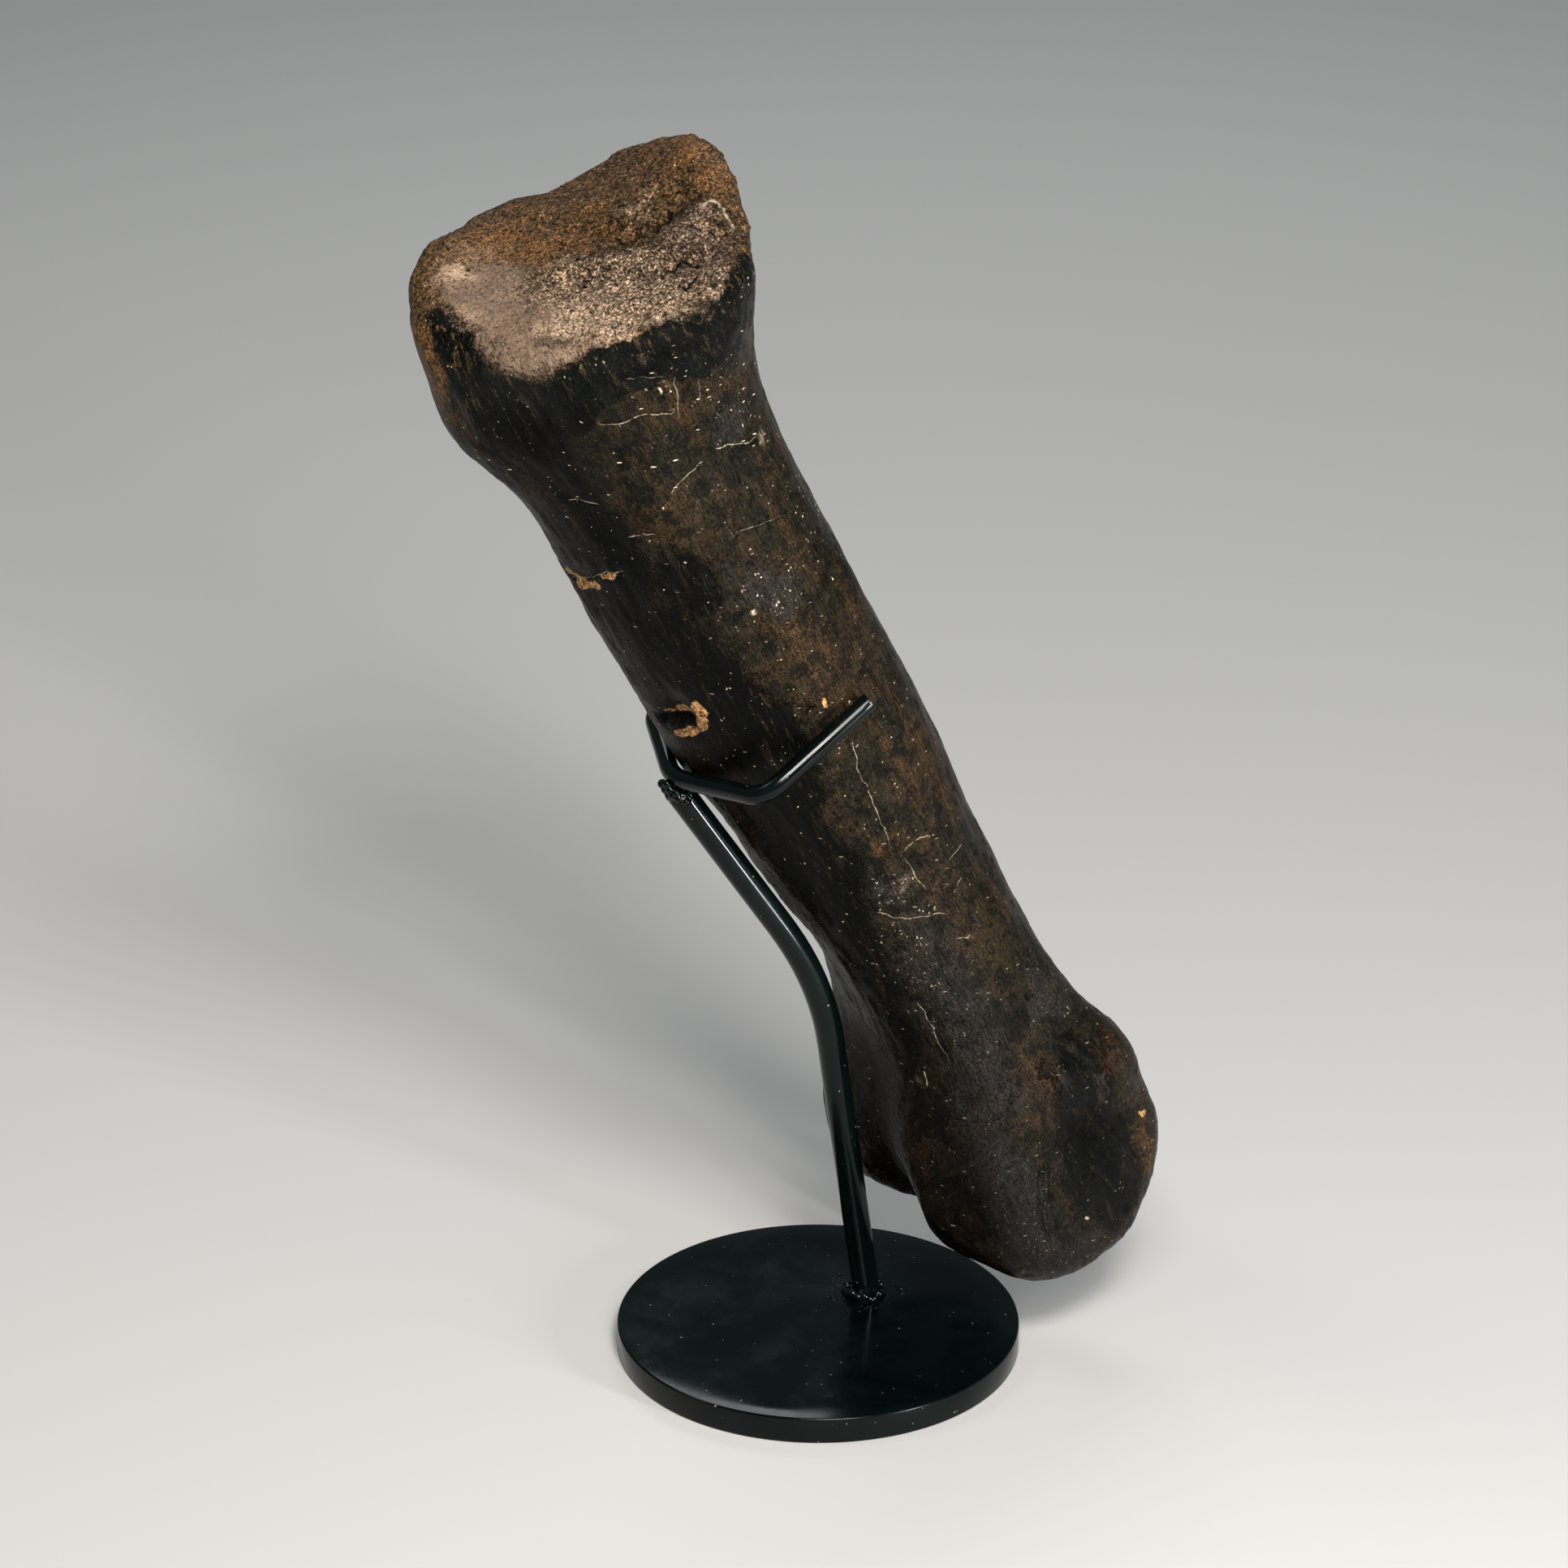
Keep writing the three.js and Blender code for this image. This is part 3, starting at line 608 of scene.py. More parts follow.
def crust_edge(places, tree):
    """How far each place lies inside the crust's edge, the height of the break and the painted shadow
    under it.
    """
    inside = np.full(len(places), FAR)
    shadow = np.zeros(len(places))
    lift = np.zeros(len(places))
    points = [point for point, _ in CRUST_EDGE]
    steps = [step for _, step in CRUST_EDGE]
    chosen, signed, along, _ = near_line(places, points, tree, step=1.4, stray=1.6, reach=24.0)
    step = np.interp(along, np.linspace(0.0, 1.0, len(steps)), steps)
    ends = tapered(along, 0.04)
    softness = np.interp(step, (0.3, 0.9, 1.6), (5.0, 1.6, 0.8))
    inside[chosen] = np.where(ends > 0.0, -signed / softness, FAR)
    shadow[chosen] = 1.3 * ends * np.minimum(step, 1.2) * np.exp(-(((signed - 6.5) / 6.0) ** 2))
    fade = np.exp(-((signed / np.where(signed > 0.0, 9.0, 6.0)) ** 2))
    lift[chosen] = -step * ends * np.tanh(signed / 0.9) * fade
    return inside, lift, shadow


def dress_skin(mesh, settings):
    """Gives the skin its grain, flakes, cracks and pits, and stores where its colours lie."""
    origin = np.array(BONE_ORIGIN_MM) * MM
    turn = np.array(bone_frame().to_3x3())
    world = relax(mesh, 3)
    move_vertices(mesh, world)
    places = (world - origin) @ turn / MM
    outward = vertex_rows(mesh.vertex_normals, "vector") @ turn
    faces = [tuple(face.vertices) for face in mesh.polygons]
    tree = BVHTree.FromPolygons([Vector(place) for place in places], faces)

    face = joint_face_weight(places)
    wavering = waver(places, 9.0, 5.0)
    steady = waver(places, 3.0, 0.9)
    grainy = patch_weight(wavering, GRAINY_PATCHES)
    rows = zip(places[:, 0], places[:, 1], places[:, 2], grainy, face)
    height = settings.grain_depth / MM * np.array([grain_height(*row) for row in rows])
    cut, line, tone, width = lay_marks(places, tree, settings.crack_depth)
    for middle, reach, depth in SUNK_PATCHES:
        height -= depth * patch_weight(wavering, ((middle, reach, 1.0),)) ** 0.7
    inside, lift, shadow = crust_edge(places, tree)
    height += lift - cut
    near_rods = smooth_step(26.0, 12.0, np.abs(places[:, 2] - RODS_HEIGHT))
    most = 0.3 * near_rods + 2.4 * (1.0 - near_rods)
    height = np.minimum(height, most)
    move_vertices(mesh, (places + outward * height[:, None]) * MM @ turn.T + origin)

    values = {
        "grain": np.minimum(grainy, 1.0),
        "joint_face": face,
        "crust": np.clip(inside, -FAR, FAR),
        "mark_line": line,
        "mark_tone": tone,
        "mark_width": width,
    }
    for name, patches in STAINS_AND_PAINTED_LIGHT.items():
        weight = patch_weight(steady if name == "gold" else wavering, patches)
        # the painted shadow under the crust's edge is added to the black patches
        weight += shadow if name == "black" else 0.0
        values[name + "_stain"] = np.minimum(weight, 1.5)
    for name, numbers in values.items():
        layer = mesh.attributes.new(name, "FLOAT", "POINT")
        layer.data.foreach_set("value", np.ascontiguousarray(numbers, dtype=np.float32))


# ---------- node sums ----------


class Signal:
    """What a node gives out: a number, colour or direction that varies over a piece."""

    def __init__(self, socket):
        self.socket = socket
        self.tree = socket.id_data

    def other(self, name):
        """Another output of the same node."""
        return Signal(self.socket.node.outputs[name])

    def __add__(self, number):
        return put(self.tree, "ShaderNodeMath", {0: self, 1: number}, operation="ADD")

    def __sub__(self, number):
        return put(self.tree, "ShaderNodeMath", {0: self, 1: number}, operation="SUBTRACT")

    def __rsub__(self, number):
        return put(self.tree, "ShaderNodeMath", {0: number, 1: self}, operation="SUBTRACT")

    def __mul__(self, number):
        return put(self.tree, "ShaderNodeMath", {0: self, 1: number}, operation="MULTIPLY")

    def __abs__(self):
        return put(self.tree, "ShaderNodeMath", {0: self}, operation="ABSOLUTE")


def put(tree, kind, inputs=(), output=0, **choices):
    """Adds a node, sets its choices, wires or sets its inputs, and gives one of its outputs."""
    node = tree.nodes.new(kind)
    for name, value in choices.items():
        setattr(node, name, value)
    for key, value in dict(inputs).items():
        if isinstance(value, Signal):
            tree.links.new(value.socket, node.inputs[key])
        else:
            node.inputs[key].default_value = value
    return Signal(node.outputs[output])


# ---------- materials ----------


def joined(how, vector, other):
    """One sum of two directions."""
    return put(vector.tree, "ShaderNodeVectorMath", {0: vector, 1: other}, operation=how)


def ramp(value, low, high, to_low=0.0, to_high=1.0):
    """A smooth climb from to_low to to_high as value goes from low to high."""
    inputs = {"Value": value, "From Min": low, "From Max": high, "To Min": to_low, "To Max": to_high}
    return put(value.tree, "ShaderNodeMapRange", inputs, interpolation_type="SMOOTHSTEP")


def tint(amount, under, over, how="MIX"):
    """One colour laid over another."""
    given = (amount, under, over)
    tree = next(value.tree for value in given if isinstance(value, Signal))
    whole = [value if isinstance(value, (Signal, float)) else (*value, 1.0) for value in given]
    return put(tree, "ShaderNodeMix", zip((0, 6, 7), whole), 2, data_type="RGBA", blend_type=how)


def shaded(amount, colour, factor):
    """The colour made darker or paler by a factor, as far as amount says."""
    return tint(amount, colour, factor, "MULTIPLY")


def mottle(vector, scale, detail=4.0, roughness=0.55, distortion=0.0):
    """Cloudy noise, 0 to 1."""
    inputs = {"Vector": vector, "Scale": scale, "Detail": detail, "Roughness": roughness}
    inputs["Distortion"] = distortion
    return put(vector.tree, "ShaderNodeTexNoise", inputs, noise_dimensions="3D")


def grains(vector, scale):
    """Rounded grains: how far a spot lies from its grain's middle, and a number of the grain's own."""
    inputs = {"Vector": vector, "Scale": scale}
    bed = put(vector.tree, "ShaderNodeTexVoronoi", inputs, voronoi_dimensions="3D")
    return bed, put(vector.tree, "ShaderNodeSeparateColor", {"Color": bed.other("Color")})


def warped(vector, scale, reach):
    """The coordinates pushed about by small noise, so that what follows has ragged edges."""
    inputs = {"Vector": vector, "Scale": scale, "Detail": 2.0}
    noisy = put(vector.tree, "ShaderNodeTexNoise", inputs, "Color")
    centred = joined("SUBTRACT", noisy, (0.5, 0.5, 0.5))
    return joined("ADD", vector, joined("MULTIPLY", centred, (reach, reach, reach)))


def kept(tree, name):
    """A number stored on the piece's vertices."""
    return put(tree, "ShaderNodeAttribute", output="Fac", attribute_name=name)


def bumped(height, depth, strength=1.0):
    """The surface direction that a height gives."""
    return put(height.tree, "ShaderNodeBump", {"Strength": strength, "Distance": depth, "Height": height})


def new_material(name):
    """An empty material, its node tree and the object's own coordinates."""
    material = bpy.data.materials.new(name)
    material.use_nodes = True
    tree = material.node_tree
    tree.nodes.clear()
    return material, tree, put(tree, "ShaderNodeTexCoord", output="Object")


def finished(material, sockets):
    """The material with its shader set and wired."""
    tree = material.node_tree
    shader = put(tree, "ShaderNodeBsdfPrincipled", sockets)
    output = tree.nodes.new("ShaderNodeOutputMaterial")
    tree.links.new(shader.socket, output.inputs["Surface"])
    return material


def ragged_patch(tree, name, clouds, soft=0.16):
    """A stored patch broken up by clouds along its edge."""
    patch = kept(tree, name + "_stain")
    weight = patch + (clouds - 0.5) * 1.9
    return ramp(weight, 0.48 - soft, 0.48 + soft) * ramp(patch, 0.02, 0.25)


def bone_patterns(tree, level):
    """The clouds, grit, fibres and grains that the bone's looks are made from."""
    into_bone = {
        "Vector": level,
        "Location": Vector(BONE_ORIGIN_MM) * MM,
        "Rotation": (BONE_ROLL, BONE_LEAN, BONE_TURN),
        "Scale": (MM, MM, MM),
    }
    place = put(tree, "ShaderNodeMapping", into_bone, vector_type="TEXTURE")
    along = joined("MULTIPLY", place, (1.0, 1.0, 0.14))
    across = joined("MULTIPLY", level, (0.38 / MM, 0.38 / MM, 1.5 / MM))
    ragged = warped(place, 0.9, 1.6)
    sideways = put(tree, "ShaderNodeSeparateXYZ", {"Vector": place})
    grit = mottle(place, 0.62, 5.0, 0.75)
    return SimpleNamespace(
        tree=tree,
        sideways=sideways,
        up=sideways.other("Z"),
        broad=mottle(place, 0.035, 5.0, 0.6, 0.4),
        clouds=mottle(place, 0.16, 8.0, 0.72, 0.3),
        grit=grit,
        dots=mottle(place, 1.5, 3.0, 0.7),
        fibre=mottle(along, 0.42, 5.0, 0.7, 0.2),
        hairs=mottle(along, 1.3, 3.0, 0.7),
        streaks=mottle(along, 0.12, 4.0, 0.6, 0.3),
        grain=grains(ragged, 1.15),
        fleck=grains(ragged, 0.8),
        dash=grains(warped(across, 0.9, 0.7), 0.75),
        grainy=kept(tree, "grain"),
        crust=ramp(kept(tree, "crust") + (grit - 0.5) * 3.0, -0.7, 0.7),
    )


def body_colour(bone, settings):
    """Olive to brown skin, with the joint face's own colour over its end."""
    colour = tint(ramp(bone.broad, 0.44, 0.56), settings.olive, settings.brown)
    colour = tint(ramp(bone.streaks, 0.52, 0.66, 0.0, 0.26), colour, settings.ochre)
    colour = tint(ramp(bone.clouds, 0.53, 0.42, 0.0, 0.75), colour, settings.black)
    colour = tint(ramp(bone.fibre, 0.56, 0.68, 0.0, 0.5), colour, settings.grey)
    face = tint(ramp(bone.clouds, 0.42, 0.58), settings.brown, settings.face_brown)
    face = tint(ramp(bone.grit, 0.5, 0.64, 0.0, 0.55), face, settings.ochre)
    face = tint(ramp(bone.grit, 0.48, 0.38, 0.0, 0.75), face, settings.olive)
    face = shaded(1.0, face, ramp(bone.grit, 0.36, 0.62, 0.45, 1.5))
    return tint(kept(bone.tree, "joint_face") * 0.92, colour, face)


def stained_and_painted_light(bone, colour, settings):
    """The colour under its stains, painted shade and painted sheen, and where each stain lies."""
    # the softness of the edge, the pattern the stain is broken by, and how much of it shows
    layers = {
        # the black layer is partly painted shade and the grey layer partly painted sheen
        "black": (0.16, bone.fibre, 0.61, 0.52, 0.25, 1.0),
        "ochre": (0.16, bone.grit, 0.4, 0.58, 0.1, 0.9),
        "red": (0.16, bone.grit, 0.42, 0.6, 0.1, 0.8),
        "grey": (0.2, bone.fibre, 0.36, 0.6, 0.4, 0.85),
        "dusk": (0.4, bone.grit, 0.34, 0.56, 0.45, 1.0),
        "chalk": (0.5, bone.grit, 0.38, 0.58, 0.12, 1.0),
    }
    stains = {}
    for name, (soft, pattern, low, high, least, most) in layers.items():
        stain = ragged_patch(bone.tree, name, bone.clouds, soft)
        if name in ("dusk", "chalk"):
            stain = stain * bone.crust
        colour = tint(stain * ramp(pattern, low, high, least, most), colour, getattr(settings, name))
        stains[name] = stain
    return colour, stains


def painted_shade_and_mottle(bone, colour, stains):
    """The colour darker towards the bottom, with painted shade at the tip, under the joint face and on the
    underside, and uneven all over.
    """
    # darker towards the bottom; painted shade under the joint face's edge and at the tip
    below = ramp(bone.up, 80.0, 150.0, 0.85, 1.0)
    below = below * ramp(bone.up, 335.0, 356.0, 0.4, 1.0) * ramp(bone.up, -48.0, -12.0, 0.25, 1.0)
    # painted shade on the underside, the -X side, which stops at the head
    lit = {0: ramp(bone.sideways, -34.0, -4.0, 0.28, 1.0), 1: ramp(bone.up, 325.0, 350.0)}
    colour = shaded(1.0, colour, below * put(bone.tree, "ShaderNodeMath", lit, operation="MAXIMUM"))
    uneven = 1.0 - ramp(stains["dusk"], 0.2, 0.9) * ramp(bone.grainy, 0.5, 0.1, 0.0, 0.65)
    colour = shaded(uneven, colour, ramp(bone.dots, 0.32, 0.68, 0.2, 1.9))
    colour = shaded(uneven, colour, ramp(bone.hairs, 0.3, 0.7, 0.45, 1.6))
    return shaded(bone.grainy, colour, ramp(bone.grain[1], 0.0, 1.0, 0.4, 1.6))


def speckled(bone, colour, stains, settings):
    """The colour with its fresh chips, painted shade between its grains, pale flecks painted as glints,
    and its dashes.
    """
    chips = ragged_patch(bone.tree, "gold", bone.clouds, 0.12) * ramp(bone.dots, 0.4, 0.54, 0.3, 1.0)
    colour = tint(chips, colour, tint(ramp(bone.grit, 0.4, 0.56), settings.ochre, settings.gold))
    # painted shade in the gaps between the grains
    colour = tint(ramp(bone.grain[0], 0.4, 0.7) * (bone.grainy * 0.75), colour, settings.black)
    colour = tint(ramp(bone.grit, 0.44, 0.34, 0.0, 0.9), colour, settings.black)
    # pale flecks painted as glints, thicker where the grey layer paints sheen
    fleck_bed, fleck_own = bone.fleck
    fleck_own = fleck_own + stains["grey"] * ramp(bone.up, 60.0, 120.0, 0.04, 0.22)
    flecks = ramp(ramp(fleck_own, 0.86, 1.0, 0.0, 0.34) - fleck_bed, 0.0, 0.09)
    thick = ramp(bone.clouds, 0.46, 0.6, 0.04, 0.8) * ramp(bone.up, 60.0, 180.0, 0.3, 1.0)
    colour = tint(flecks * thick, colour, settings.crack)
    dash_bed, dash_own = bone.dash
    dashes = ramp(ramp(dash_own, 0.9, 1.0, 0.0, 0.28) - dash_bed, 0.0, 0.09)
    zone = ramp(bone.up, 285.0, 305.0, 0.25, 1.0) * ramp(bone.up, 352.0, 342.0)
    return tint(dashes * zone, colour, settings.crack)


def marked(bone, colour, settings):
    """The colour with its pale marks and the painted shade of its dark marks, and where the marks lie."""
    width = kept(bone.tree, "mark_width")
    away = abs(kept(bone.tree, "mark_line")) + (bone.grit - 0.5) * 1.3
    edge = ramp(away, width * 0.36, width * 0.05)
    tone = kept(bone.tree, "mark_tone")
    pale = edge * ramp(tone, 0.0, 1.2) * ramp(bone.clouds, 0.4, 0.54, 0.25, 1.0)
    colour = tint(pale * ramp(bone.grit, 0.42, 0.5, 0.2, 1.0), colour, settings.crack)
    # dark marks: painted shade in the crevices, creases and slot
    return tint(edge * ramp(tone, 0.0, -0.8), colour, settings.black), edge


def bone_material(settings):
    """Dark mineral bone: olive to brown clouds, stains, painted shade and sheen, pale grain, painted
    glints, and pale or dark cracks.
    """
    material, tree, level = new_material("mineral_bone")
    bone = bone_patterns(tree, level)
    colour, stains = stained_and_painted_light(bone, body_colour(bone, settings), settings)
    colour = speckled(bone, painted_shade_and_mottle(bone, colour, stains), stains, settings)
    colour, edge = marked(bone, colour, settings)

    black = stains["black"]
    rough = ramp(bone.clouds, 0.3, 0.7, settings.roughness - 0.08, settings.roughness + 0.14)
    rough = rough + bone.grainy * 0.14 + ramp(bone.dots, 0.4, 0.6) * 0.08 - black * 0.06
    height = bone.clouds * 0.8 + bone.grit * 0.45 + bone.fibre * 0.5 + bone.hairs * 0.16 + bone.dots * 0.2
    bed, grain_own = bone.grain
    lumps = bed * -0.6 + grain_own * 0.25 + bone.clouds * 2.2
    height = height * ramp(black, 0.0, 1.0, 0.8, 0.4) + bone.grainy * lumps - edge * 0.3
    sockets = {"Base Color": colour, "Roughness": rough, "Normal": bumped(height, MM)}
    return finished(material, {**sockets, "Specular IOR Level": 0.06})


def paint_material(settings):
    """Gloss black paint over steel: faint orange peel, cloudy wear and a few specks of dust."""
    material, _, place = new_material("gloss_black_paint")
    peel = mottle(place, 420.0, 2.0, 0.5)
    clouds = mottle(place, 38.0, 5.0, 0.6, 0.3)
    scuffs = mottle(joined("MULTIPLY", place, (1.0, 0.22, 1.0)), 160.0, 4.0, 0.7, 0.6)
    dust = mottle(place, 620.0, 1.0, 0.5)
    colour = tint(ramp(clouds, 0.35, 0.7), settings.paint, settings.paint_worn)
    scuffed = ramp(scuffs, 0.62, 0.74) * ramp(clouds, 0.45, 0.6, 0.0, 0.5)
    colour = tint(scuffed, colour, settings.scuff)
    colour = tint(ramp(dust, 0.765, 0.8, 0.0, 0.7), colour, settings.dust)
    smooth = settings.paint_roughness
    rough = ramp(clouds, 0.3, 0.75, smooth - 0.05, smooth + 0.1) + scuffed * 0.3
    normal = bumped(peel * 0.015 + clouds * 0.05, MM, 0.6)
    sockets = {"Base Color": colour, "Roughness": rough, "Normal": normal}
    return finished(material, {**sockets, "Specular IOR Level": 0.17})


def steel_material(settings):
    """Dull grey steel where the paint has worn off a cut end."""
    material, _, place = new_material("bare_steel")
    saw = mottle(joined("MULTIPLY", place, (1.0, 0.2, 1.0)), 900.0, 3.0, 0.6)
    worn = ramp(mottle(place, 500.0, 3.0, 0.6), 0.42, 0.58)
    colour = tint(worn, settings.paint_worn, settings.bare_steel)
    sockets = {"Base Color": colour, "Normal": bumped(saw, 0.1 * MM, 0.5)}
    return finished(material, {**sockets, "Metallic": 0.6, "Roughness": 0.45})


def floor_material(colour):
    """A plain pale floor with the faintest mottling."""
    material, _, place = new_material("pale_floor")
    clouds = ramp(mottle(place, 3.0, 2.0, 0.5), 0.3, 0.7, 0.0, 0.06)
    return finished(material, {"Base Color": tint(clouds, colour, (0.6, 0.6, 0.6)), "Roughness": 0.75})


# ---------- the stand's rods, welds and plate ----------


def leg_points(start, end):
    """Even points from start to end, without the start itself."""
    leg = end - start
    parts = max(2, round(leg.length / LEG_STEP))
    return [start + leg * (part / parts) for part in range(1, parts + 1)]


def bent_path(corners, corner_round):
    """Points along straight legs with rounded corners between them, in metres."""
    points = [corners[0]]
    for before, corner, after in zip(corners[:-2], corners[1:-1], corners[2:]):
        start = corner + (before - corner).normalized() * corner_round
        end = corner + (after - corner).normalized() * corner_round
        points += leg_points(points[-1], start)[:-1]
        for turn in range(BEND_PARTS + 1):
            ratio = turn / BEND_PARTS
            points.append(start.lerp(corner, ratio).lerp(corner.lerp(end, ratio), ratio))
    return points + leg_points(points[-1], corners[-1])


def path_curve(name, points):
    """A curve object through the points."""
    curve = bpy.data.curves.new(name, "CURVE")
    curve.dimensions = "3D"
    spline = curve.splines.new("POLY")
    spline.points.add(len(points) - 1)
    for spot, point in zip(spline.points, points):
        spot.co = (*point, 1.0)
    return new_object(name, curve)


def rod_tree():
    """Sweeps a round section along a path, with a slightly uneven surface and cut ends."""
    tree = bpy.data.node_groups.new("steel_rod", "GeometryNodeTree")
    for name, kind in ROD_INPUTS.items():
        tree.interface.new_socket(name, in_out="INPUT", socket_type="NodeSocket" + kind)
    tree.interface.new_socket("Rod", in_out="OUTPUT", socket_type="NodeSocketGeometry")
    given = {socket.name: Signal(socket) for socket in tree.nodes.new("NodeGroupInput").outputs}
    circle = {"Resolution": given["Sides"], "Radius": given["Rod Diameter"] * 0.5}
    section = put(tree, "GeometryNodeCurvePrimitiveCircle", circle)
    sweep = {"Curve": given["Path"], "Profile Curve": section, "Fill Caps": True}
    swept = put(tree, "GeometryNodeCurveToMesh", sweep)
    wobble_inputs = {"W": given["Seed"], "Scale": 90.0, "Detail": 1.0}
    wobble = put(tree, "ShaderNodeTexNoise", wobble_inputs, noise_dimensions="4D")
    push = {0: put(tree, "GeometryNodeInputNormal"), "Scale": (wobble - 0.5) * given["Unevenness"]}
    offset = put(tree, "ShaderNodeVectorMath", push, operation="SCALE")
    moved = put(tree, "GeometryNodeSetPosition", {"Geometry": swept, "Offset": offset})
    real = put(tree, "GeometryNodeRealizeInstances", {"Geometry": moved})
    painted = put(tree, "GeometryNodeSetMaterial", {"Geometry": real, "Material": given["Paint"]})
    tree.links.new(painted.socket, tree.nodes.new("NodeGroupOutput").inputs[0])
    return tree


def rod_piece(name, corners, corner_round, diameter, seed, paint):
    """A round steel rod bent along its corners."""
    made = path_curve(name, bent_path(corners, corner_round))
    modifier = made.modifiers.new("rod", "NODES")
    modifier.node_group = bpy.data.node_groups.get("steel_rod") or rod_tree()
    sockets = {item.name: item.identifier for item in modifier.node_group.interface.items_tree}
    settings = {"Rod Diameter": diameter, "Sides": ROD_SIDES, "Unevenness": ROD_UNEVENNESS}
    for key, value in {**settings, "Seed": seed, "Paint": paint}.items():
        modifier[sockets[key]] = value
    piece = plain_piece(name, made)
    soften_ends(piece.data, CUT_END_ROUND)
    return piece


def bare_tip(mesh, tip, reach, steel):
    """Gives the cut end nearest to the tip its worn steel."""
    mesh.materials.append(steel)
    for face in mesh.polygons:
        if (face.center - tip).length < reach and len(face.vertices) > 4:
            face.material_index = 1


def soften_ends(mesh, width):
    """Breaks the sharp edge round each cut end."""
    build = bmesh.new()
    build.from_mesh(mesh)
    bmesh.ops.remove_doubles(build, verts=build.verts, dist=MERGE_GAP)
    rims = [edge for edge in build.edges if edge.is_manifold and edge.calc_face_angle() > math.radians(60)]
    bmesh.ops.bevel(build, geom=rims, offset=width, segments=2, affect="EDGES", profile=0.6)
    bmesh.ops.recalc_face_normals(build, faces=build.faces)
    build.to_mesh(mesh)
    build.free()
    mesh.shade_smooth()
    mesh.set_sharp_from_angle(angle=math.radians(35))


def fused_drops(name, drops, cell, paint):
    """Round drops of weld run together into one lump."""
    build = bmesh.new()
    for place, radius, flatness in drops:
        spot = Matrix.Translation(place) @ Matrix.Diagonal((1.0, 1.0, flatness, 1.0))
        bmesh.ops.create_icosphere(build, subdivisions=3, radius=radius, matrix=spot)
    made = new_object(name, built_mesh(build, name))
    melt = made.modifiers.new("melt", "REMESH")
    melt.mode = "VOXEL"
    melt.voxel_size = cell
    settle = made.modifiers.new("settle", "SMOOTH")
    settle.factor = 0.5
    settle.iterations = 2
    piece = plain_piece(name, made)
    piece.data.materials.clear()
    piece.data.materials.append(paint)
    return piece


def trim_below(mesh, height):
    """Flattens what hangs below a height, so that a weld sits on the plate."""
    places = vertex_rows(mesh.vertices, "co")
    places[:, 2] = np.maximum(places[:, 2], height)
    move_vertices(mesh, places)


def foot_weld_drops(ring):
    """Beads in a ring round the post's foot, with a second heap at the front left."""
    foot = Vector(POST_FOOT_MM) * MM
    drops = [(foot, ring + 0.0004, 0.4)]
    round_foot = 17
    heap_middle = 23
    for index in range(30):
        unsteady = noise.noise((index * 1.7, 4.2, 0.0))
        lift = abs(noise.noise((index * 2.3, 9.1, 0.0)))
        angle = math.tau * index / round_foot
        reach = ring + 0.0005 + 0.0012 * abs(unsteady)
        if index >= round_foot:
            angle = math.radians(235.0) + 0.16 * (index - heap_middle)
            reach += 0.0016
        spot = foot + Vector((math.cos(angle) * reach, math.sin(angle) * reach, 0.0006 + 0.0055 * lift))
        drops.append((spot, 0.0015 + 0.0009 * unsteady, 1.0))
    return drops


def cradle_weld_drops():
    """Small drops heaped where the post's top meets the cradle."""
    top = from_bone_space(POST_TOP_IN_BONE_SPACE)
    towards = from_bone_space(CRADLE_CORNERS_IN_BONE_SPACE[2]) - top
    drops = [(top, 0.0046, 1.0), (top + towards * 0.45, 0.0038, 1.0)]
    count = 30
    per_turn = 11.0
    for index in range(count):
        angle = math.tau * index / per_turn
        unsteady = noise.noise((index * 1.3, 2.2, 5.0))
        climb = -0.35 + 1.0 * index / count
        across = Vector((math.cos(angle), math.sin(angle), 0.3 * math.sin(2.0 * angle)))
        spot = top + towards * climb + across * (0.0043 + 0.0008 * unsteady)
        drops.append((spot, 0.0014 + 0.0007 * abs(unsteady), 1.0))
    return drops


def spatter_drops():
    """Small beads of spatter on the plate round the foot."""
    foot = Vector(POST_FOOT_MM) * MM
    drops = []
    for index in range(26):
        angle = math.tau * (0.5 + 0.5 * noise.noise((index * 3.1, 0.4, 0.0))) + index * 0.9
        reach = 0.0095 + 0.012 * abs(noise.noise((index * 1.9, 6.4, 2.0)))
        spot = foot + Vector((math.cos(angle), math.sin(angle), 0.0)) * reach
        size = 0.0005 + 0.0016 * abs(noise.noise((index * 5.3, 1.1, 8.0)))
        drops.append((spot, size, 0.7))
    return drops


def plate_piece(radius, high, paint):
    """The round base plate with a slightly broken edge."""
    broken = PLATE_EDGE_ROUND
    inner = radius - broken
    profile = [(across * radius, 0.0) for across in (0.0, 0.2, 0.6)] + [(inner, 0.0)]
    for turn in range(1, 4):
        angle = math.radians(30 * turn)
        profile.append((inner + broken * math.sin(angle), broken - broken * math.cos(angle)))
    for turn in range(4):
        angle = math.radians(30 * turn)
        profile.append((inner + broken * math.cos(angle), high - broken + broken * math.sin(angle)))
    profile += [(across * radius, high) for across in (0.85, 0.6, 0.35, 0.12, 0.0)]
    build = bmesh.new()
    spots = [build.verts.new((across, 0.0, up)) for across, up in profile]
    edges = [build.edges.new(pair) for pair in zip(spots[:-1], spots[1:])]
    bmesh.ops.spin(
        build,
        geom=spots + edges,
        cent=(0.0, 0.0, 0.0),
        axis=(0.0, 0.0, 1.0),
        angle=math.tau,
        steps=PLATE_SIDES,
        use_merge=True,
    )
    bmesh.ops.remove_doubles(build, verts=build.verts, dist=MERGE_GAP)
    bmesh.ops.recalc_face_normals(build, faces=build.faces)
    mesh = built_mesh(build, "base_plate")
    mesh.materials.append(paint)
    mesh.shade_smooth()
    mesh.set_sharp_from_angle(angle=math.radians(50))
    return new_object("base_plate", mesh)


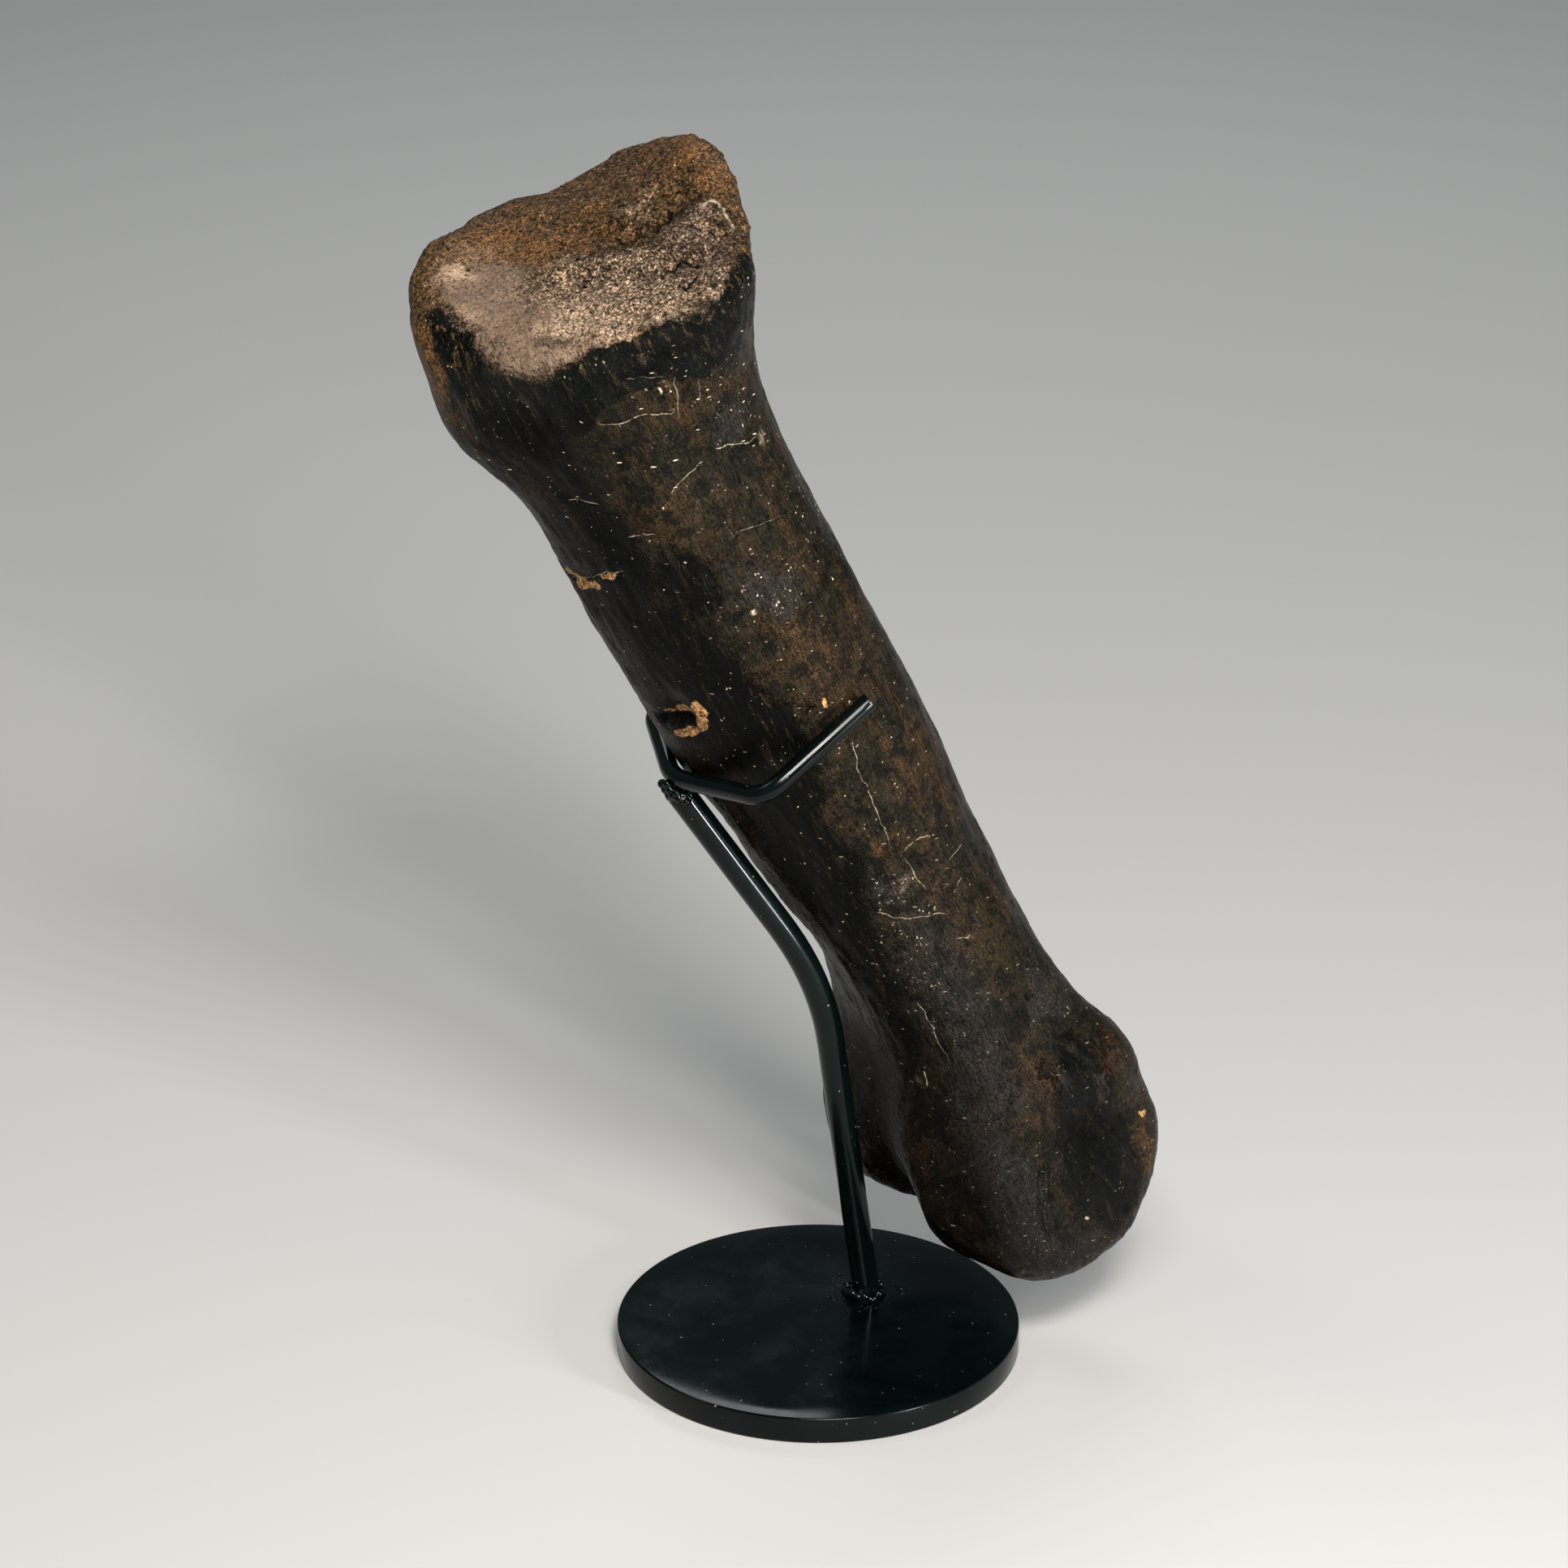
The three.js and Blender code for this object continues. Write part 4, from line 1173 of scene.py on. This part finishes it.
def shared_paint(context):
    """The stand's paint, made once."""
    return bpy.data.materials.get("gloss_black_paint") or paint_material(context.scene.fossil_stand)


def settle_piece(piece, *nodes):
    """Says which body the piece rides on and hides the solids that it stands for."""
    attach(piece, "root")
    if nodes:
        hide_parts(*nodes)


# ---------- what a user would change ----------


def colour_property(label, about, value):
    """A colour with its name and default."""
    return bpy.props.FloatVectorProperty(
        name=label, description=about, default=value, subtype="COLOR", size=3, min=0.0, max=1.0
    )


def number_property(label, about, value, **choices):
    """A number with its name and default."""
    return bpy.props.FloatProperty(name=label, description=about, default=value, min=0.0, **choices)


def length_property(label, about, value):
    """A length in metres with its name and default."""
    return number_property(label, about, value, unit="LENGTH", precision=5)


class FossilBoneSettings(bpy.types.PropertyGroup):
    """Sizes and colours of the bone's skin."""

    skin_cell: length_property("Skin Cell", "Size of one face of the skin", 0.00139)
    grain_depth: length_property("Grain Depth", "Depth of the grain and flakes", 0.001)
    crack_depth: number_property("Crack Depth", "Depth of the cracks against the rows", 1.0, max=3.0)
    roughness: number_property("Roughness", "Roughness of the skin at its middle", 0.19, max=1.0)
    olive: colour_property("Olive", "Darkest body colour", (0.024, 0.0185, 0.0090))
    brown: colour_property("Brown", "Warm body colour", (0.050, 0.0315, 0.0150))
    face_brown: colour_property("Face Brown", "Brown of the joint face", (0.088, 0.046, 0.020))
    ochre: colour_property("Ochre", "Earthy stains", (0.150, 0.070, 0.025))
    # also the colour of the painted shade
    black: colour_property("Black", "Mineral black", (0.0022, 0.0028, 0.0022))
    # also the colour of the painted sheen patches
    grey: colour_property("Grey", "Smooth grey skin", (0.038, 0.035, 0.030))
    dusk: colour_property("Dusk", "Smooth pale skin of the joint face", (0.185, 0.124, 0.086))
    chalk: colour_property("Chalk", "Pale broken grain", (0.47, 0.325, 0.215))
    gold: colour_property("Gold", "Bright fresh chips", (0.62, 0.33, 0.13))
    red: colour_property("Red", "Red-brown stains", (0.085, 0.026, 0.014))
    # also the colour of the pale flecks painted as glints
    crack: colour_property("Crack", "Pale filling of the cracks", (0.66, 0.53, 0.38))


class FossilStandSettings(bpy.types.PropertyGroup):
    """Sizes and colours of the stand."""

    plate_diameter: length_property("Plate Diameter", "Across the base plate", 0.140)
    plate_thickness: length_property("Plate Thickness", "Height of the base plate", 0.0095)
    post_diameter: length_property("Post Diameter", "Across the post's rod", 0.0095)
    cradle_diameter: length_property("Cradle Diameter", "Across the cradle's rod", 0.0064)
    paint: colour_property("Paint", "Black paint", (0.0005, 0.0016, 0.0015))
    paint_worn: colour_property("Worn Paint", "Paint where it is rubbed", (0.0012, 0.0036, 0.0033))
    scuff: colour_property("Scuff", "Scuffed paint", (0.010, 0.011, 0.010))
    dust: colour_property("Dust", "Specks of dust", (0.30, 0.26, 0.21))
    bare_steel: colour_property("Bare Steel", "Worn tip of the cradle", (0.16, 0.17, 0.17))
    paint_roughness: number_property("Paint Roughness", "Roughness of the paint", 0.14, max=1.0)


class FossilStageSettings(bpy.types.PropertyGroup):
    """Floor and light."""

    floor: colour_property("Floor", "Pale floor", (0.52, 0.51, 0.50))
    key_power: number_property("Key Power", "Power of the main light", 19.5, unit="POWER")
    world: number_property("World", "Strength of the light from all round", 0.12, max=4.0)


# ---------- operators ----------


class FOSSIL_OT_bone(bpy.types.Operator):
    """Makes the fossil bone's finished skin"""

    bl_idname = "fossil.bone"
    bl_label = "Fossil Bone"

    def execute(self, context):
        settings = context.scene.fossil_bone
        skin = even_skin(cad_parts["bone"], settings.skin_cell)
        dress_skin(skin.data, settings)
        skin.data.materials.clear()
        skin.data.materials.append(bone_material(settings))
        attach(skin, "root")
        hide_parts("bone")
        return {"FINISHED"}


class FOSSIL_OT_base_plate(bpy.types.Operator):
    """Makes the round base plate"""

    bl_idname = "fossil.base_plate"
    bl_label = "Base Plate"

    def execute(self, context):
        settings = context.scene.fossil_stand
        plate = plate_piece(0.5 * settings.plate_diameter, settings.plate_thickness, shared_paint(context))
        settle_piece(plate, "base_disc")
        return {"FINISHED"}


class FOSSIL_OT_rods(bpy.types.Operator):
    """Makes the bent post and the cradle that holds the bone"""

    bl_idname = "fossil.rods"
    bl_label = "Post and Cradle"

    def execute(self, context):
        settings = context.scene.fossil_stand
        paint = shared_paint(context)
        foot = Vector(POST_FOOT_MM) * MM
        elbow = Vector(POST_ELBOW_MM) * MM
        foot += (foot - elbow).normalized() * 0.1 * settings.post_diameter
        path = [foot, elbow, from_bone_space(POST_TOP_IN_BONE_SPACE)]
        post = rod_piece("post_rod", path, POST_ELBOW_ROUND_MM * MM, settings.post_diameter, 3.0, paint)
        trim_below(post.data, settings.plate_thickness)
        settle_piece(post, "post")
        path = [from_bone_space(corner) for corner in CRADLE_CORNERS_IN_BONE_SPACE]
        kink = CRADLE_KINK_ROUND_MM * MM
        cradle = rod_piece("cradle_rod", path, kink, settings.cradle_diameter, 8.0, paint)
        bare_tip(cradle.data, path[0], 0.002, steel_material(settings))
        settle_piece(cradle, "cradle")
        return {"FINISHED"}


class FOSSIL_OT_welds(bpy.types.Operator):
    """Makes the weld beads at the post's foot and top, and the spatter round the foot"""

    bl_idname = "fossil.welds"
    bl_label = "Welds"

    def execute(self, context):
        settings = context.scene.fossil_stand
        paint = shared_paint(context)
        drops = foot_weld_drops(0.5 * settings.post_diameter)
        foot_weld = fused_drops("foot_weld", drops, WELD_CELL, paint)
        trim_below(foot_weld.data, settings.plate_thickness)
        settle_piece(foot_weld)
        settle_piece(fused_drops("cradle_weld", cradle_weld_drops(), WELD_CELL, paint))
        spatter = fused_drops("weld_spatter", spatter_drops(), SPATTER_CELL, paint)
        trim_below(spatter.data, settings.plate_thickness)
        settle_piece(spatter)
        return {"FINISHED"}


def area_light(name, place, aim, size, power, colour, roll=0.0):
    """A soft flat light aimed at a point and rolled by some degrees."""
    light = bpy.data.lights.new(name, "AREA")
    light.shape = "RECTANGLE"
    light.size, light.size_y = size
    light.energy = power
    light.color = colour
    made = new_object(name, light)
    made.location = place
    turn = (Vector(aim) - Vector(place)).to_track_quat("-Z", "Y").to_matrix()
    made.rotation_euler = (turn @ Matrix.Rotation(math.radians(roll), 3, "Z")).to_euler()
    made.visible_camera = False


class FOSSIL_OT_stage(bpy.types.Operator):
    """Makes the floor, the soft light and the camera"""

    bl_idname = "fossil.stage"
    bl_label = "Stage"

    def execute(self, context):
        settings = context.scene.fossil_stage
        build = bmesh.new()
        bmesh.ops.create_grid(build, x_segments=4, y_segments=4, size=6.0)
        floor = new_object("floor", built_mesh(build, "floor"))
        floor.data.materials.append(floor_material(settings.floor))

        world = bpy.data.worlds.new("soft_world")
        world.use_nodes = True
        background = world.node_tree.nodes["Background"]
        background.inputs["Color"].default_value = (0.78, 0.96, 1.0, 1.0)
        background.inputs["Strength"].default_value = settings.world
        context.scene.world = world

        power = settings.key_power
        middle = (0.0, 0.0, 0.24)
        warm = (1.0, 0.96, 0.91)
        cool = (0.95, 0.98, 1.0)
        area_light("key_light", (0.24, -1.05, 1.29), middle, (0.36, 0.3), power, warm)
        area_light("back_light", (0.1, 1.5, 1.6), (0.0, 1.0, 0.0), (1.2, 0.6), 0.55 * power, cool)
        area_light("side_light", (1.0, -0.84, 0.24), middle, (0.12, 0.4), 0.9 * power, cool)
        area_light("left_light", (-1.1, 0.1, 1.5), middle, (0.5, 0.5), 0.2 * power, warm)
        area_light("strip_light", (0.14, -1.19, 1.08), middle, (0.9, 0.07), 0.95 * power, warm, -43.0)
        context.scene.view_settings.view_transform = "Standard"

        camera = bpy.data.cameras.new("camera")
        camera.sensor_width = 36.0
        camera.lens = 118.58
        holder = new_object("camera", camera)
        holder.location = (-0.01188, -1.5842, 0.8841)
        holder.rotation_euler = (math.radians(67.0), 0.0, 0.0)
        context.scene.camera = holder
        return {"FINISHED"}


class FOSSIL_PT_panel(bpy.types.Panel):
    """Lists the fossil's pieces"""

    bl_idname = "FOSSIL_PT_panel"
    bl_label = "Fossil Foot Bone"
    bl_space_type = "VIEW_3D"
    bl_region_type = "UI"
    bl_category = "Fossil"

    def draw(self, context):
        for maker in OPERATORS:
            self.layout.operator(maker.bl_idname)
        for group in ("fossil_bone", "fossil_stand", "fossil_stage"):
            box = self.layout.box()
            settings = getattr(context.scene, group)
            for name in settings.__annotations__:
                box.prop(settings, name)


OPERATORS = (FOSSIL_OT_stage, FOSSIL_OT_base_plate, FOSSIL_OT_rods, FOSSIL_OT_welds, FOSSIL_OT_bone)
SETTINGS = {
    "fossil_bone": FossilBoneSettings,
    "fossil_stand": FossilStandSettings,
    "fossil_stage": FossilStageSettings,
}


def register():
    """Adds the settings, operators and panel."""
    for name, group in SETTINGS.items():
        bpy.utils.register_class(group)
        setattr(bpy.types.Scene, name, bpy.props.PointerProperty(type=group))
    for maker in (*OPERATORS, FOSSIL_PT_panel):
        bpy.utils.register_class(maker)


def unregister():
    """Takes the settings, operators and panel away."""
    for maker in (FOSSIL_PT_panel, *reversed(OPERATORS)):
        bpy.utils.unregister_class(maker)
    for name, group in SETTINGS.items():
        delattr(bpy.types.Scene, name)
        bpy.utils.unregister_class(group)


def main():
    """Makes every piece."""
    register()
    bpy.ops.fossil.stage()
    bpy.ops.fossil.base_plate()
    bpy.ops.fossil.rods()
    bpy.ops.fossil.welds()
    bpy.ops.fossil.bone()


if __name__ == "__main__":
    main()
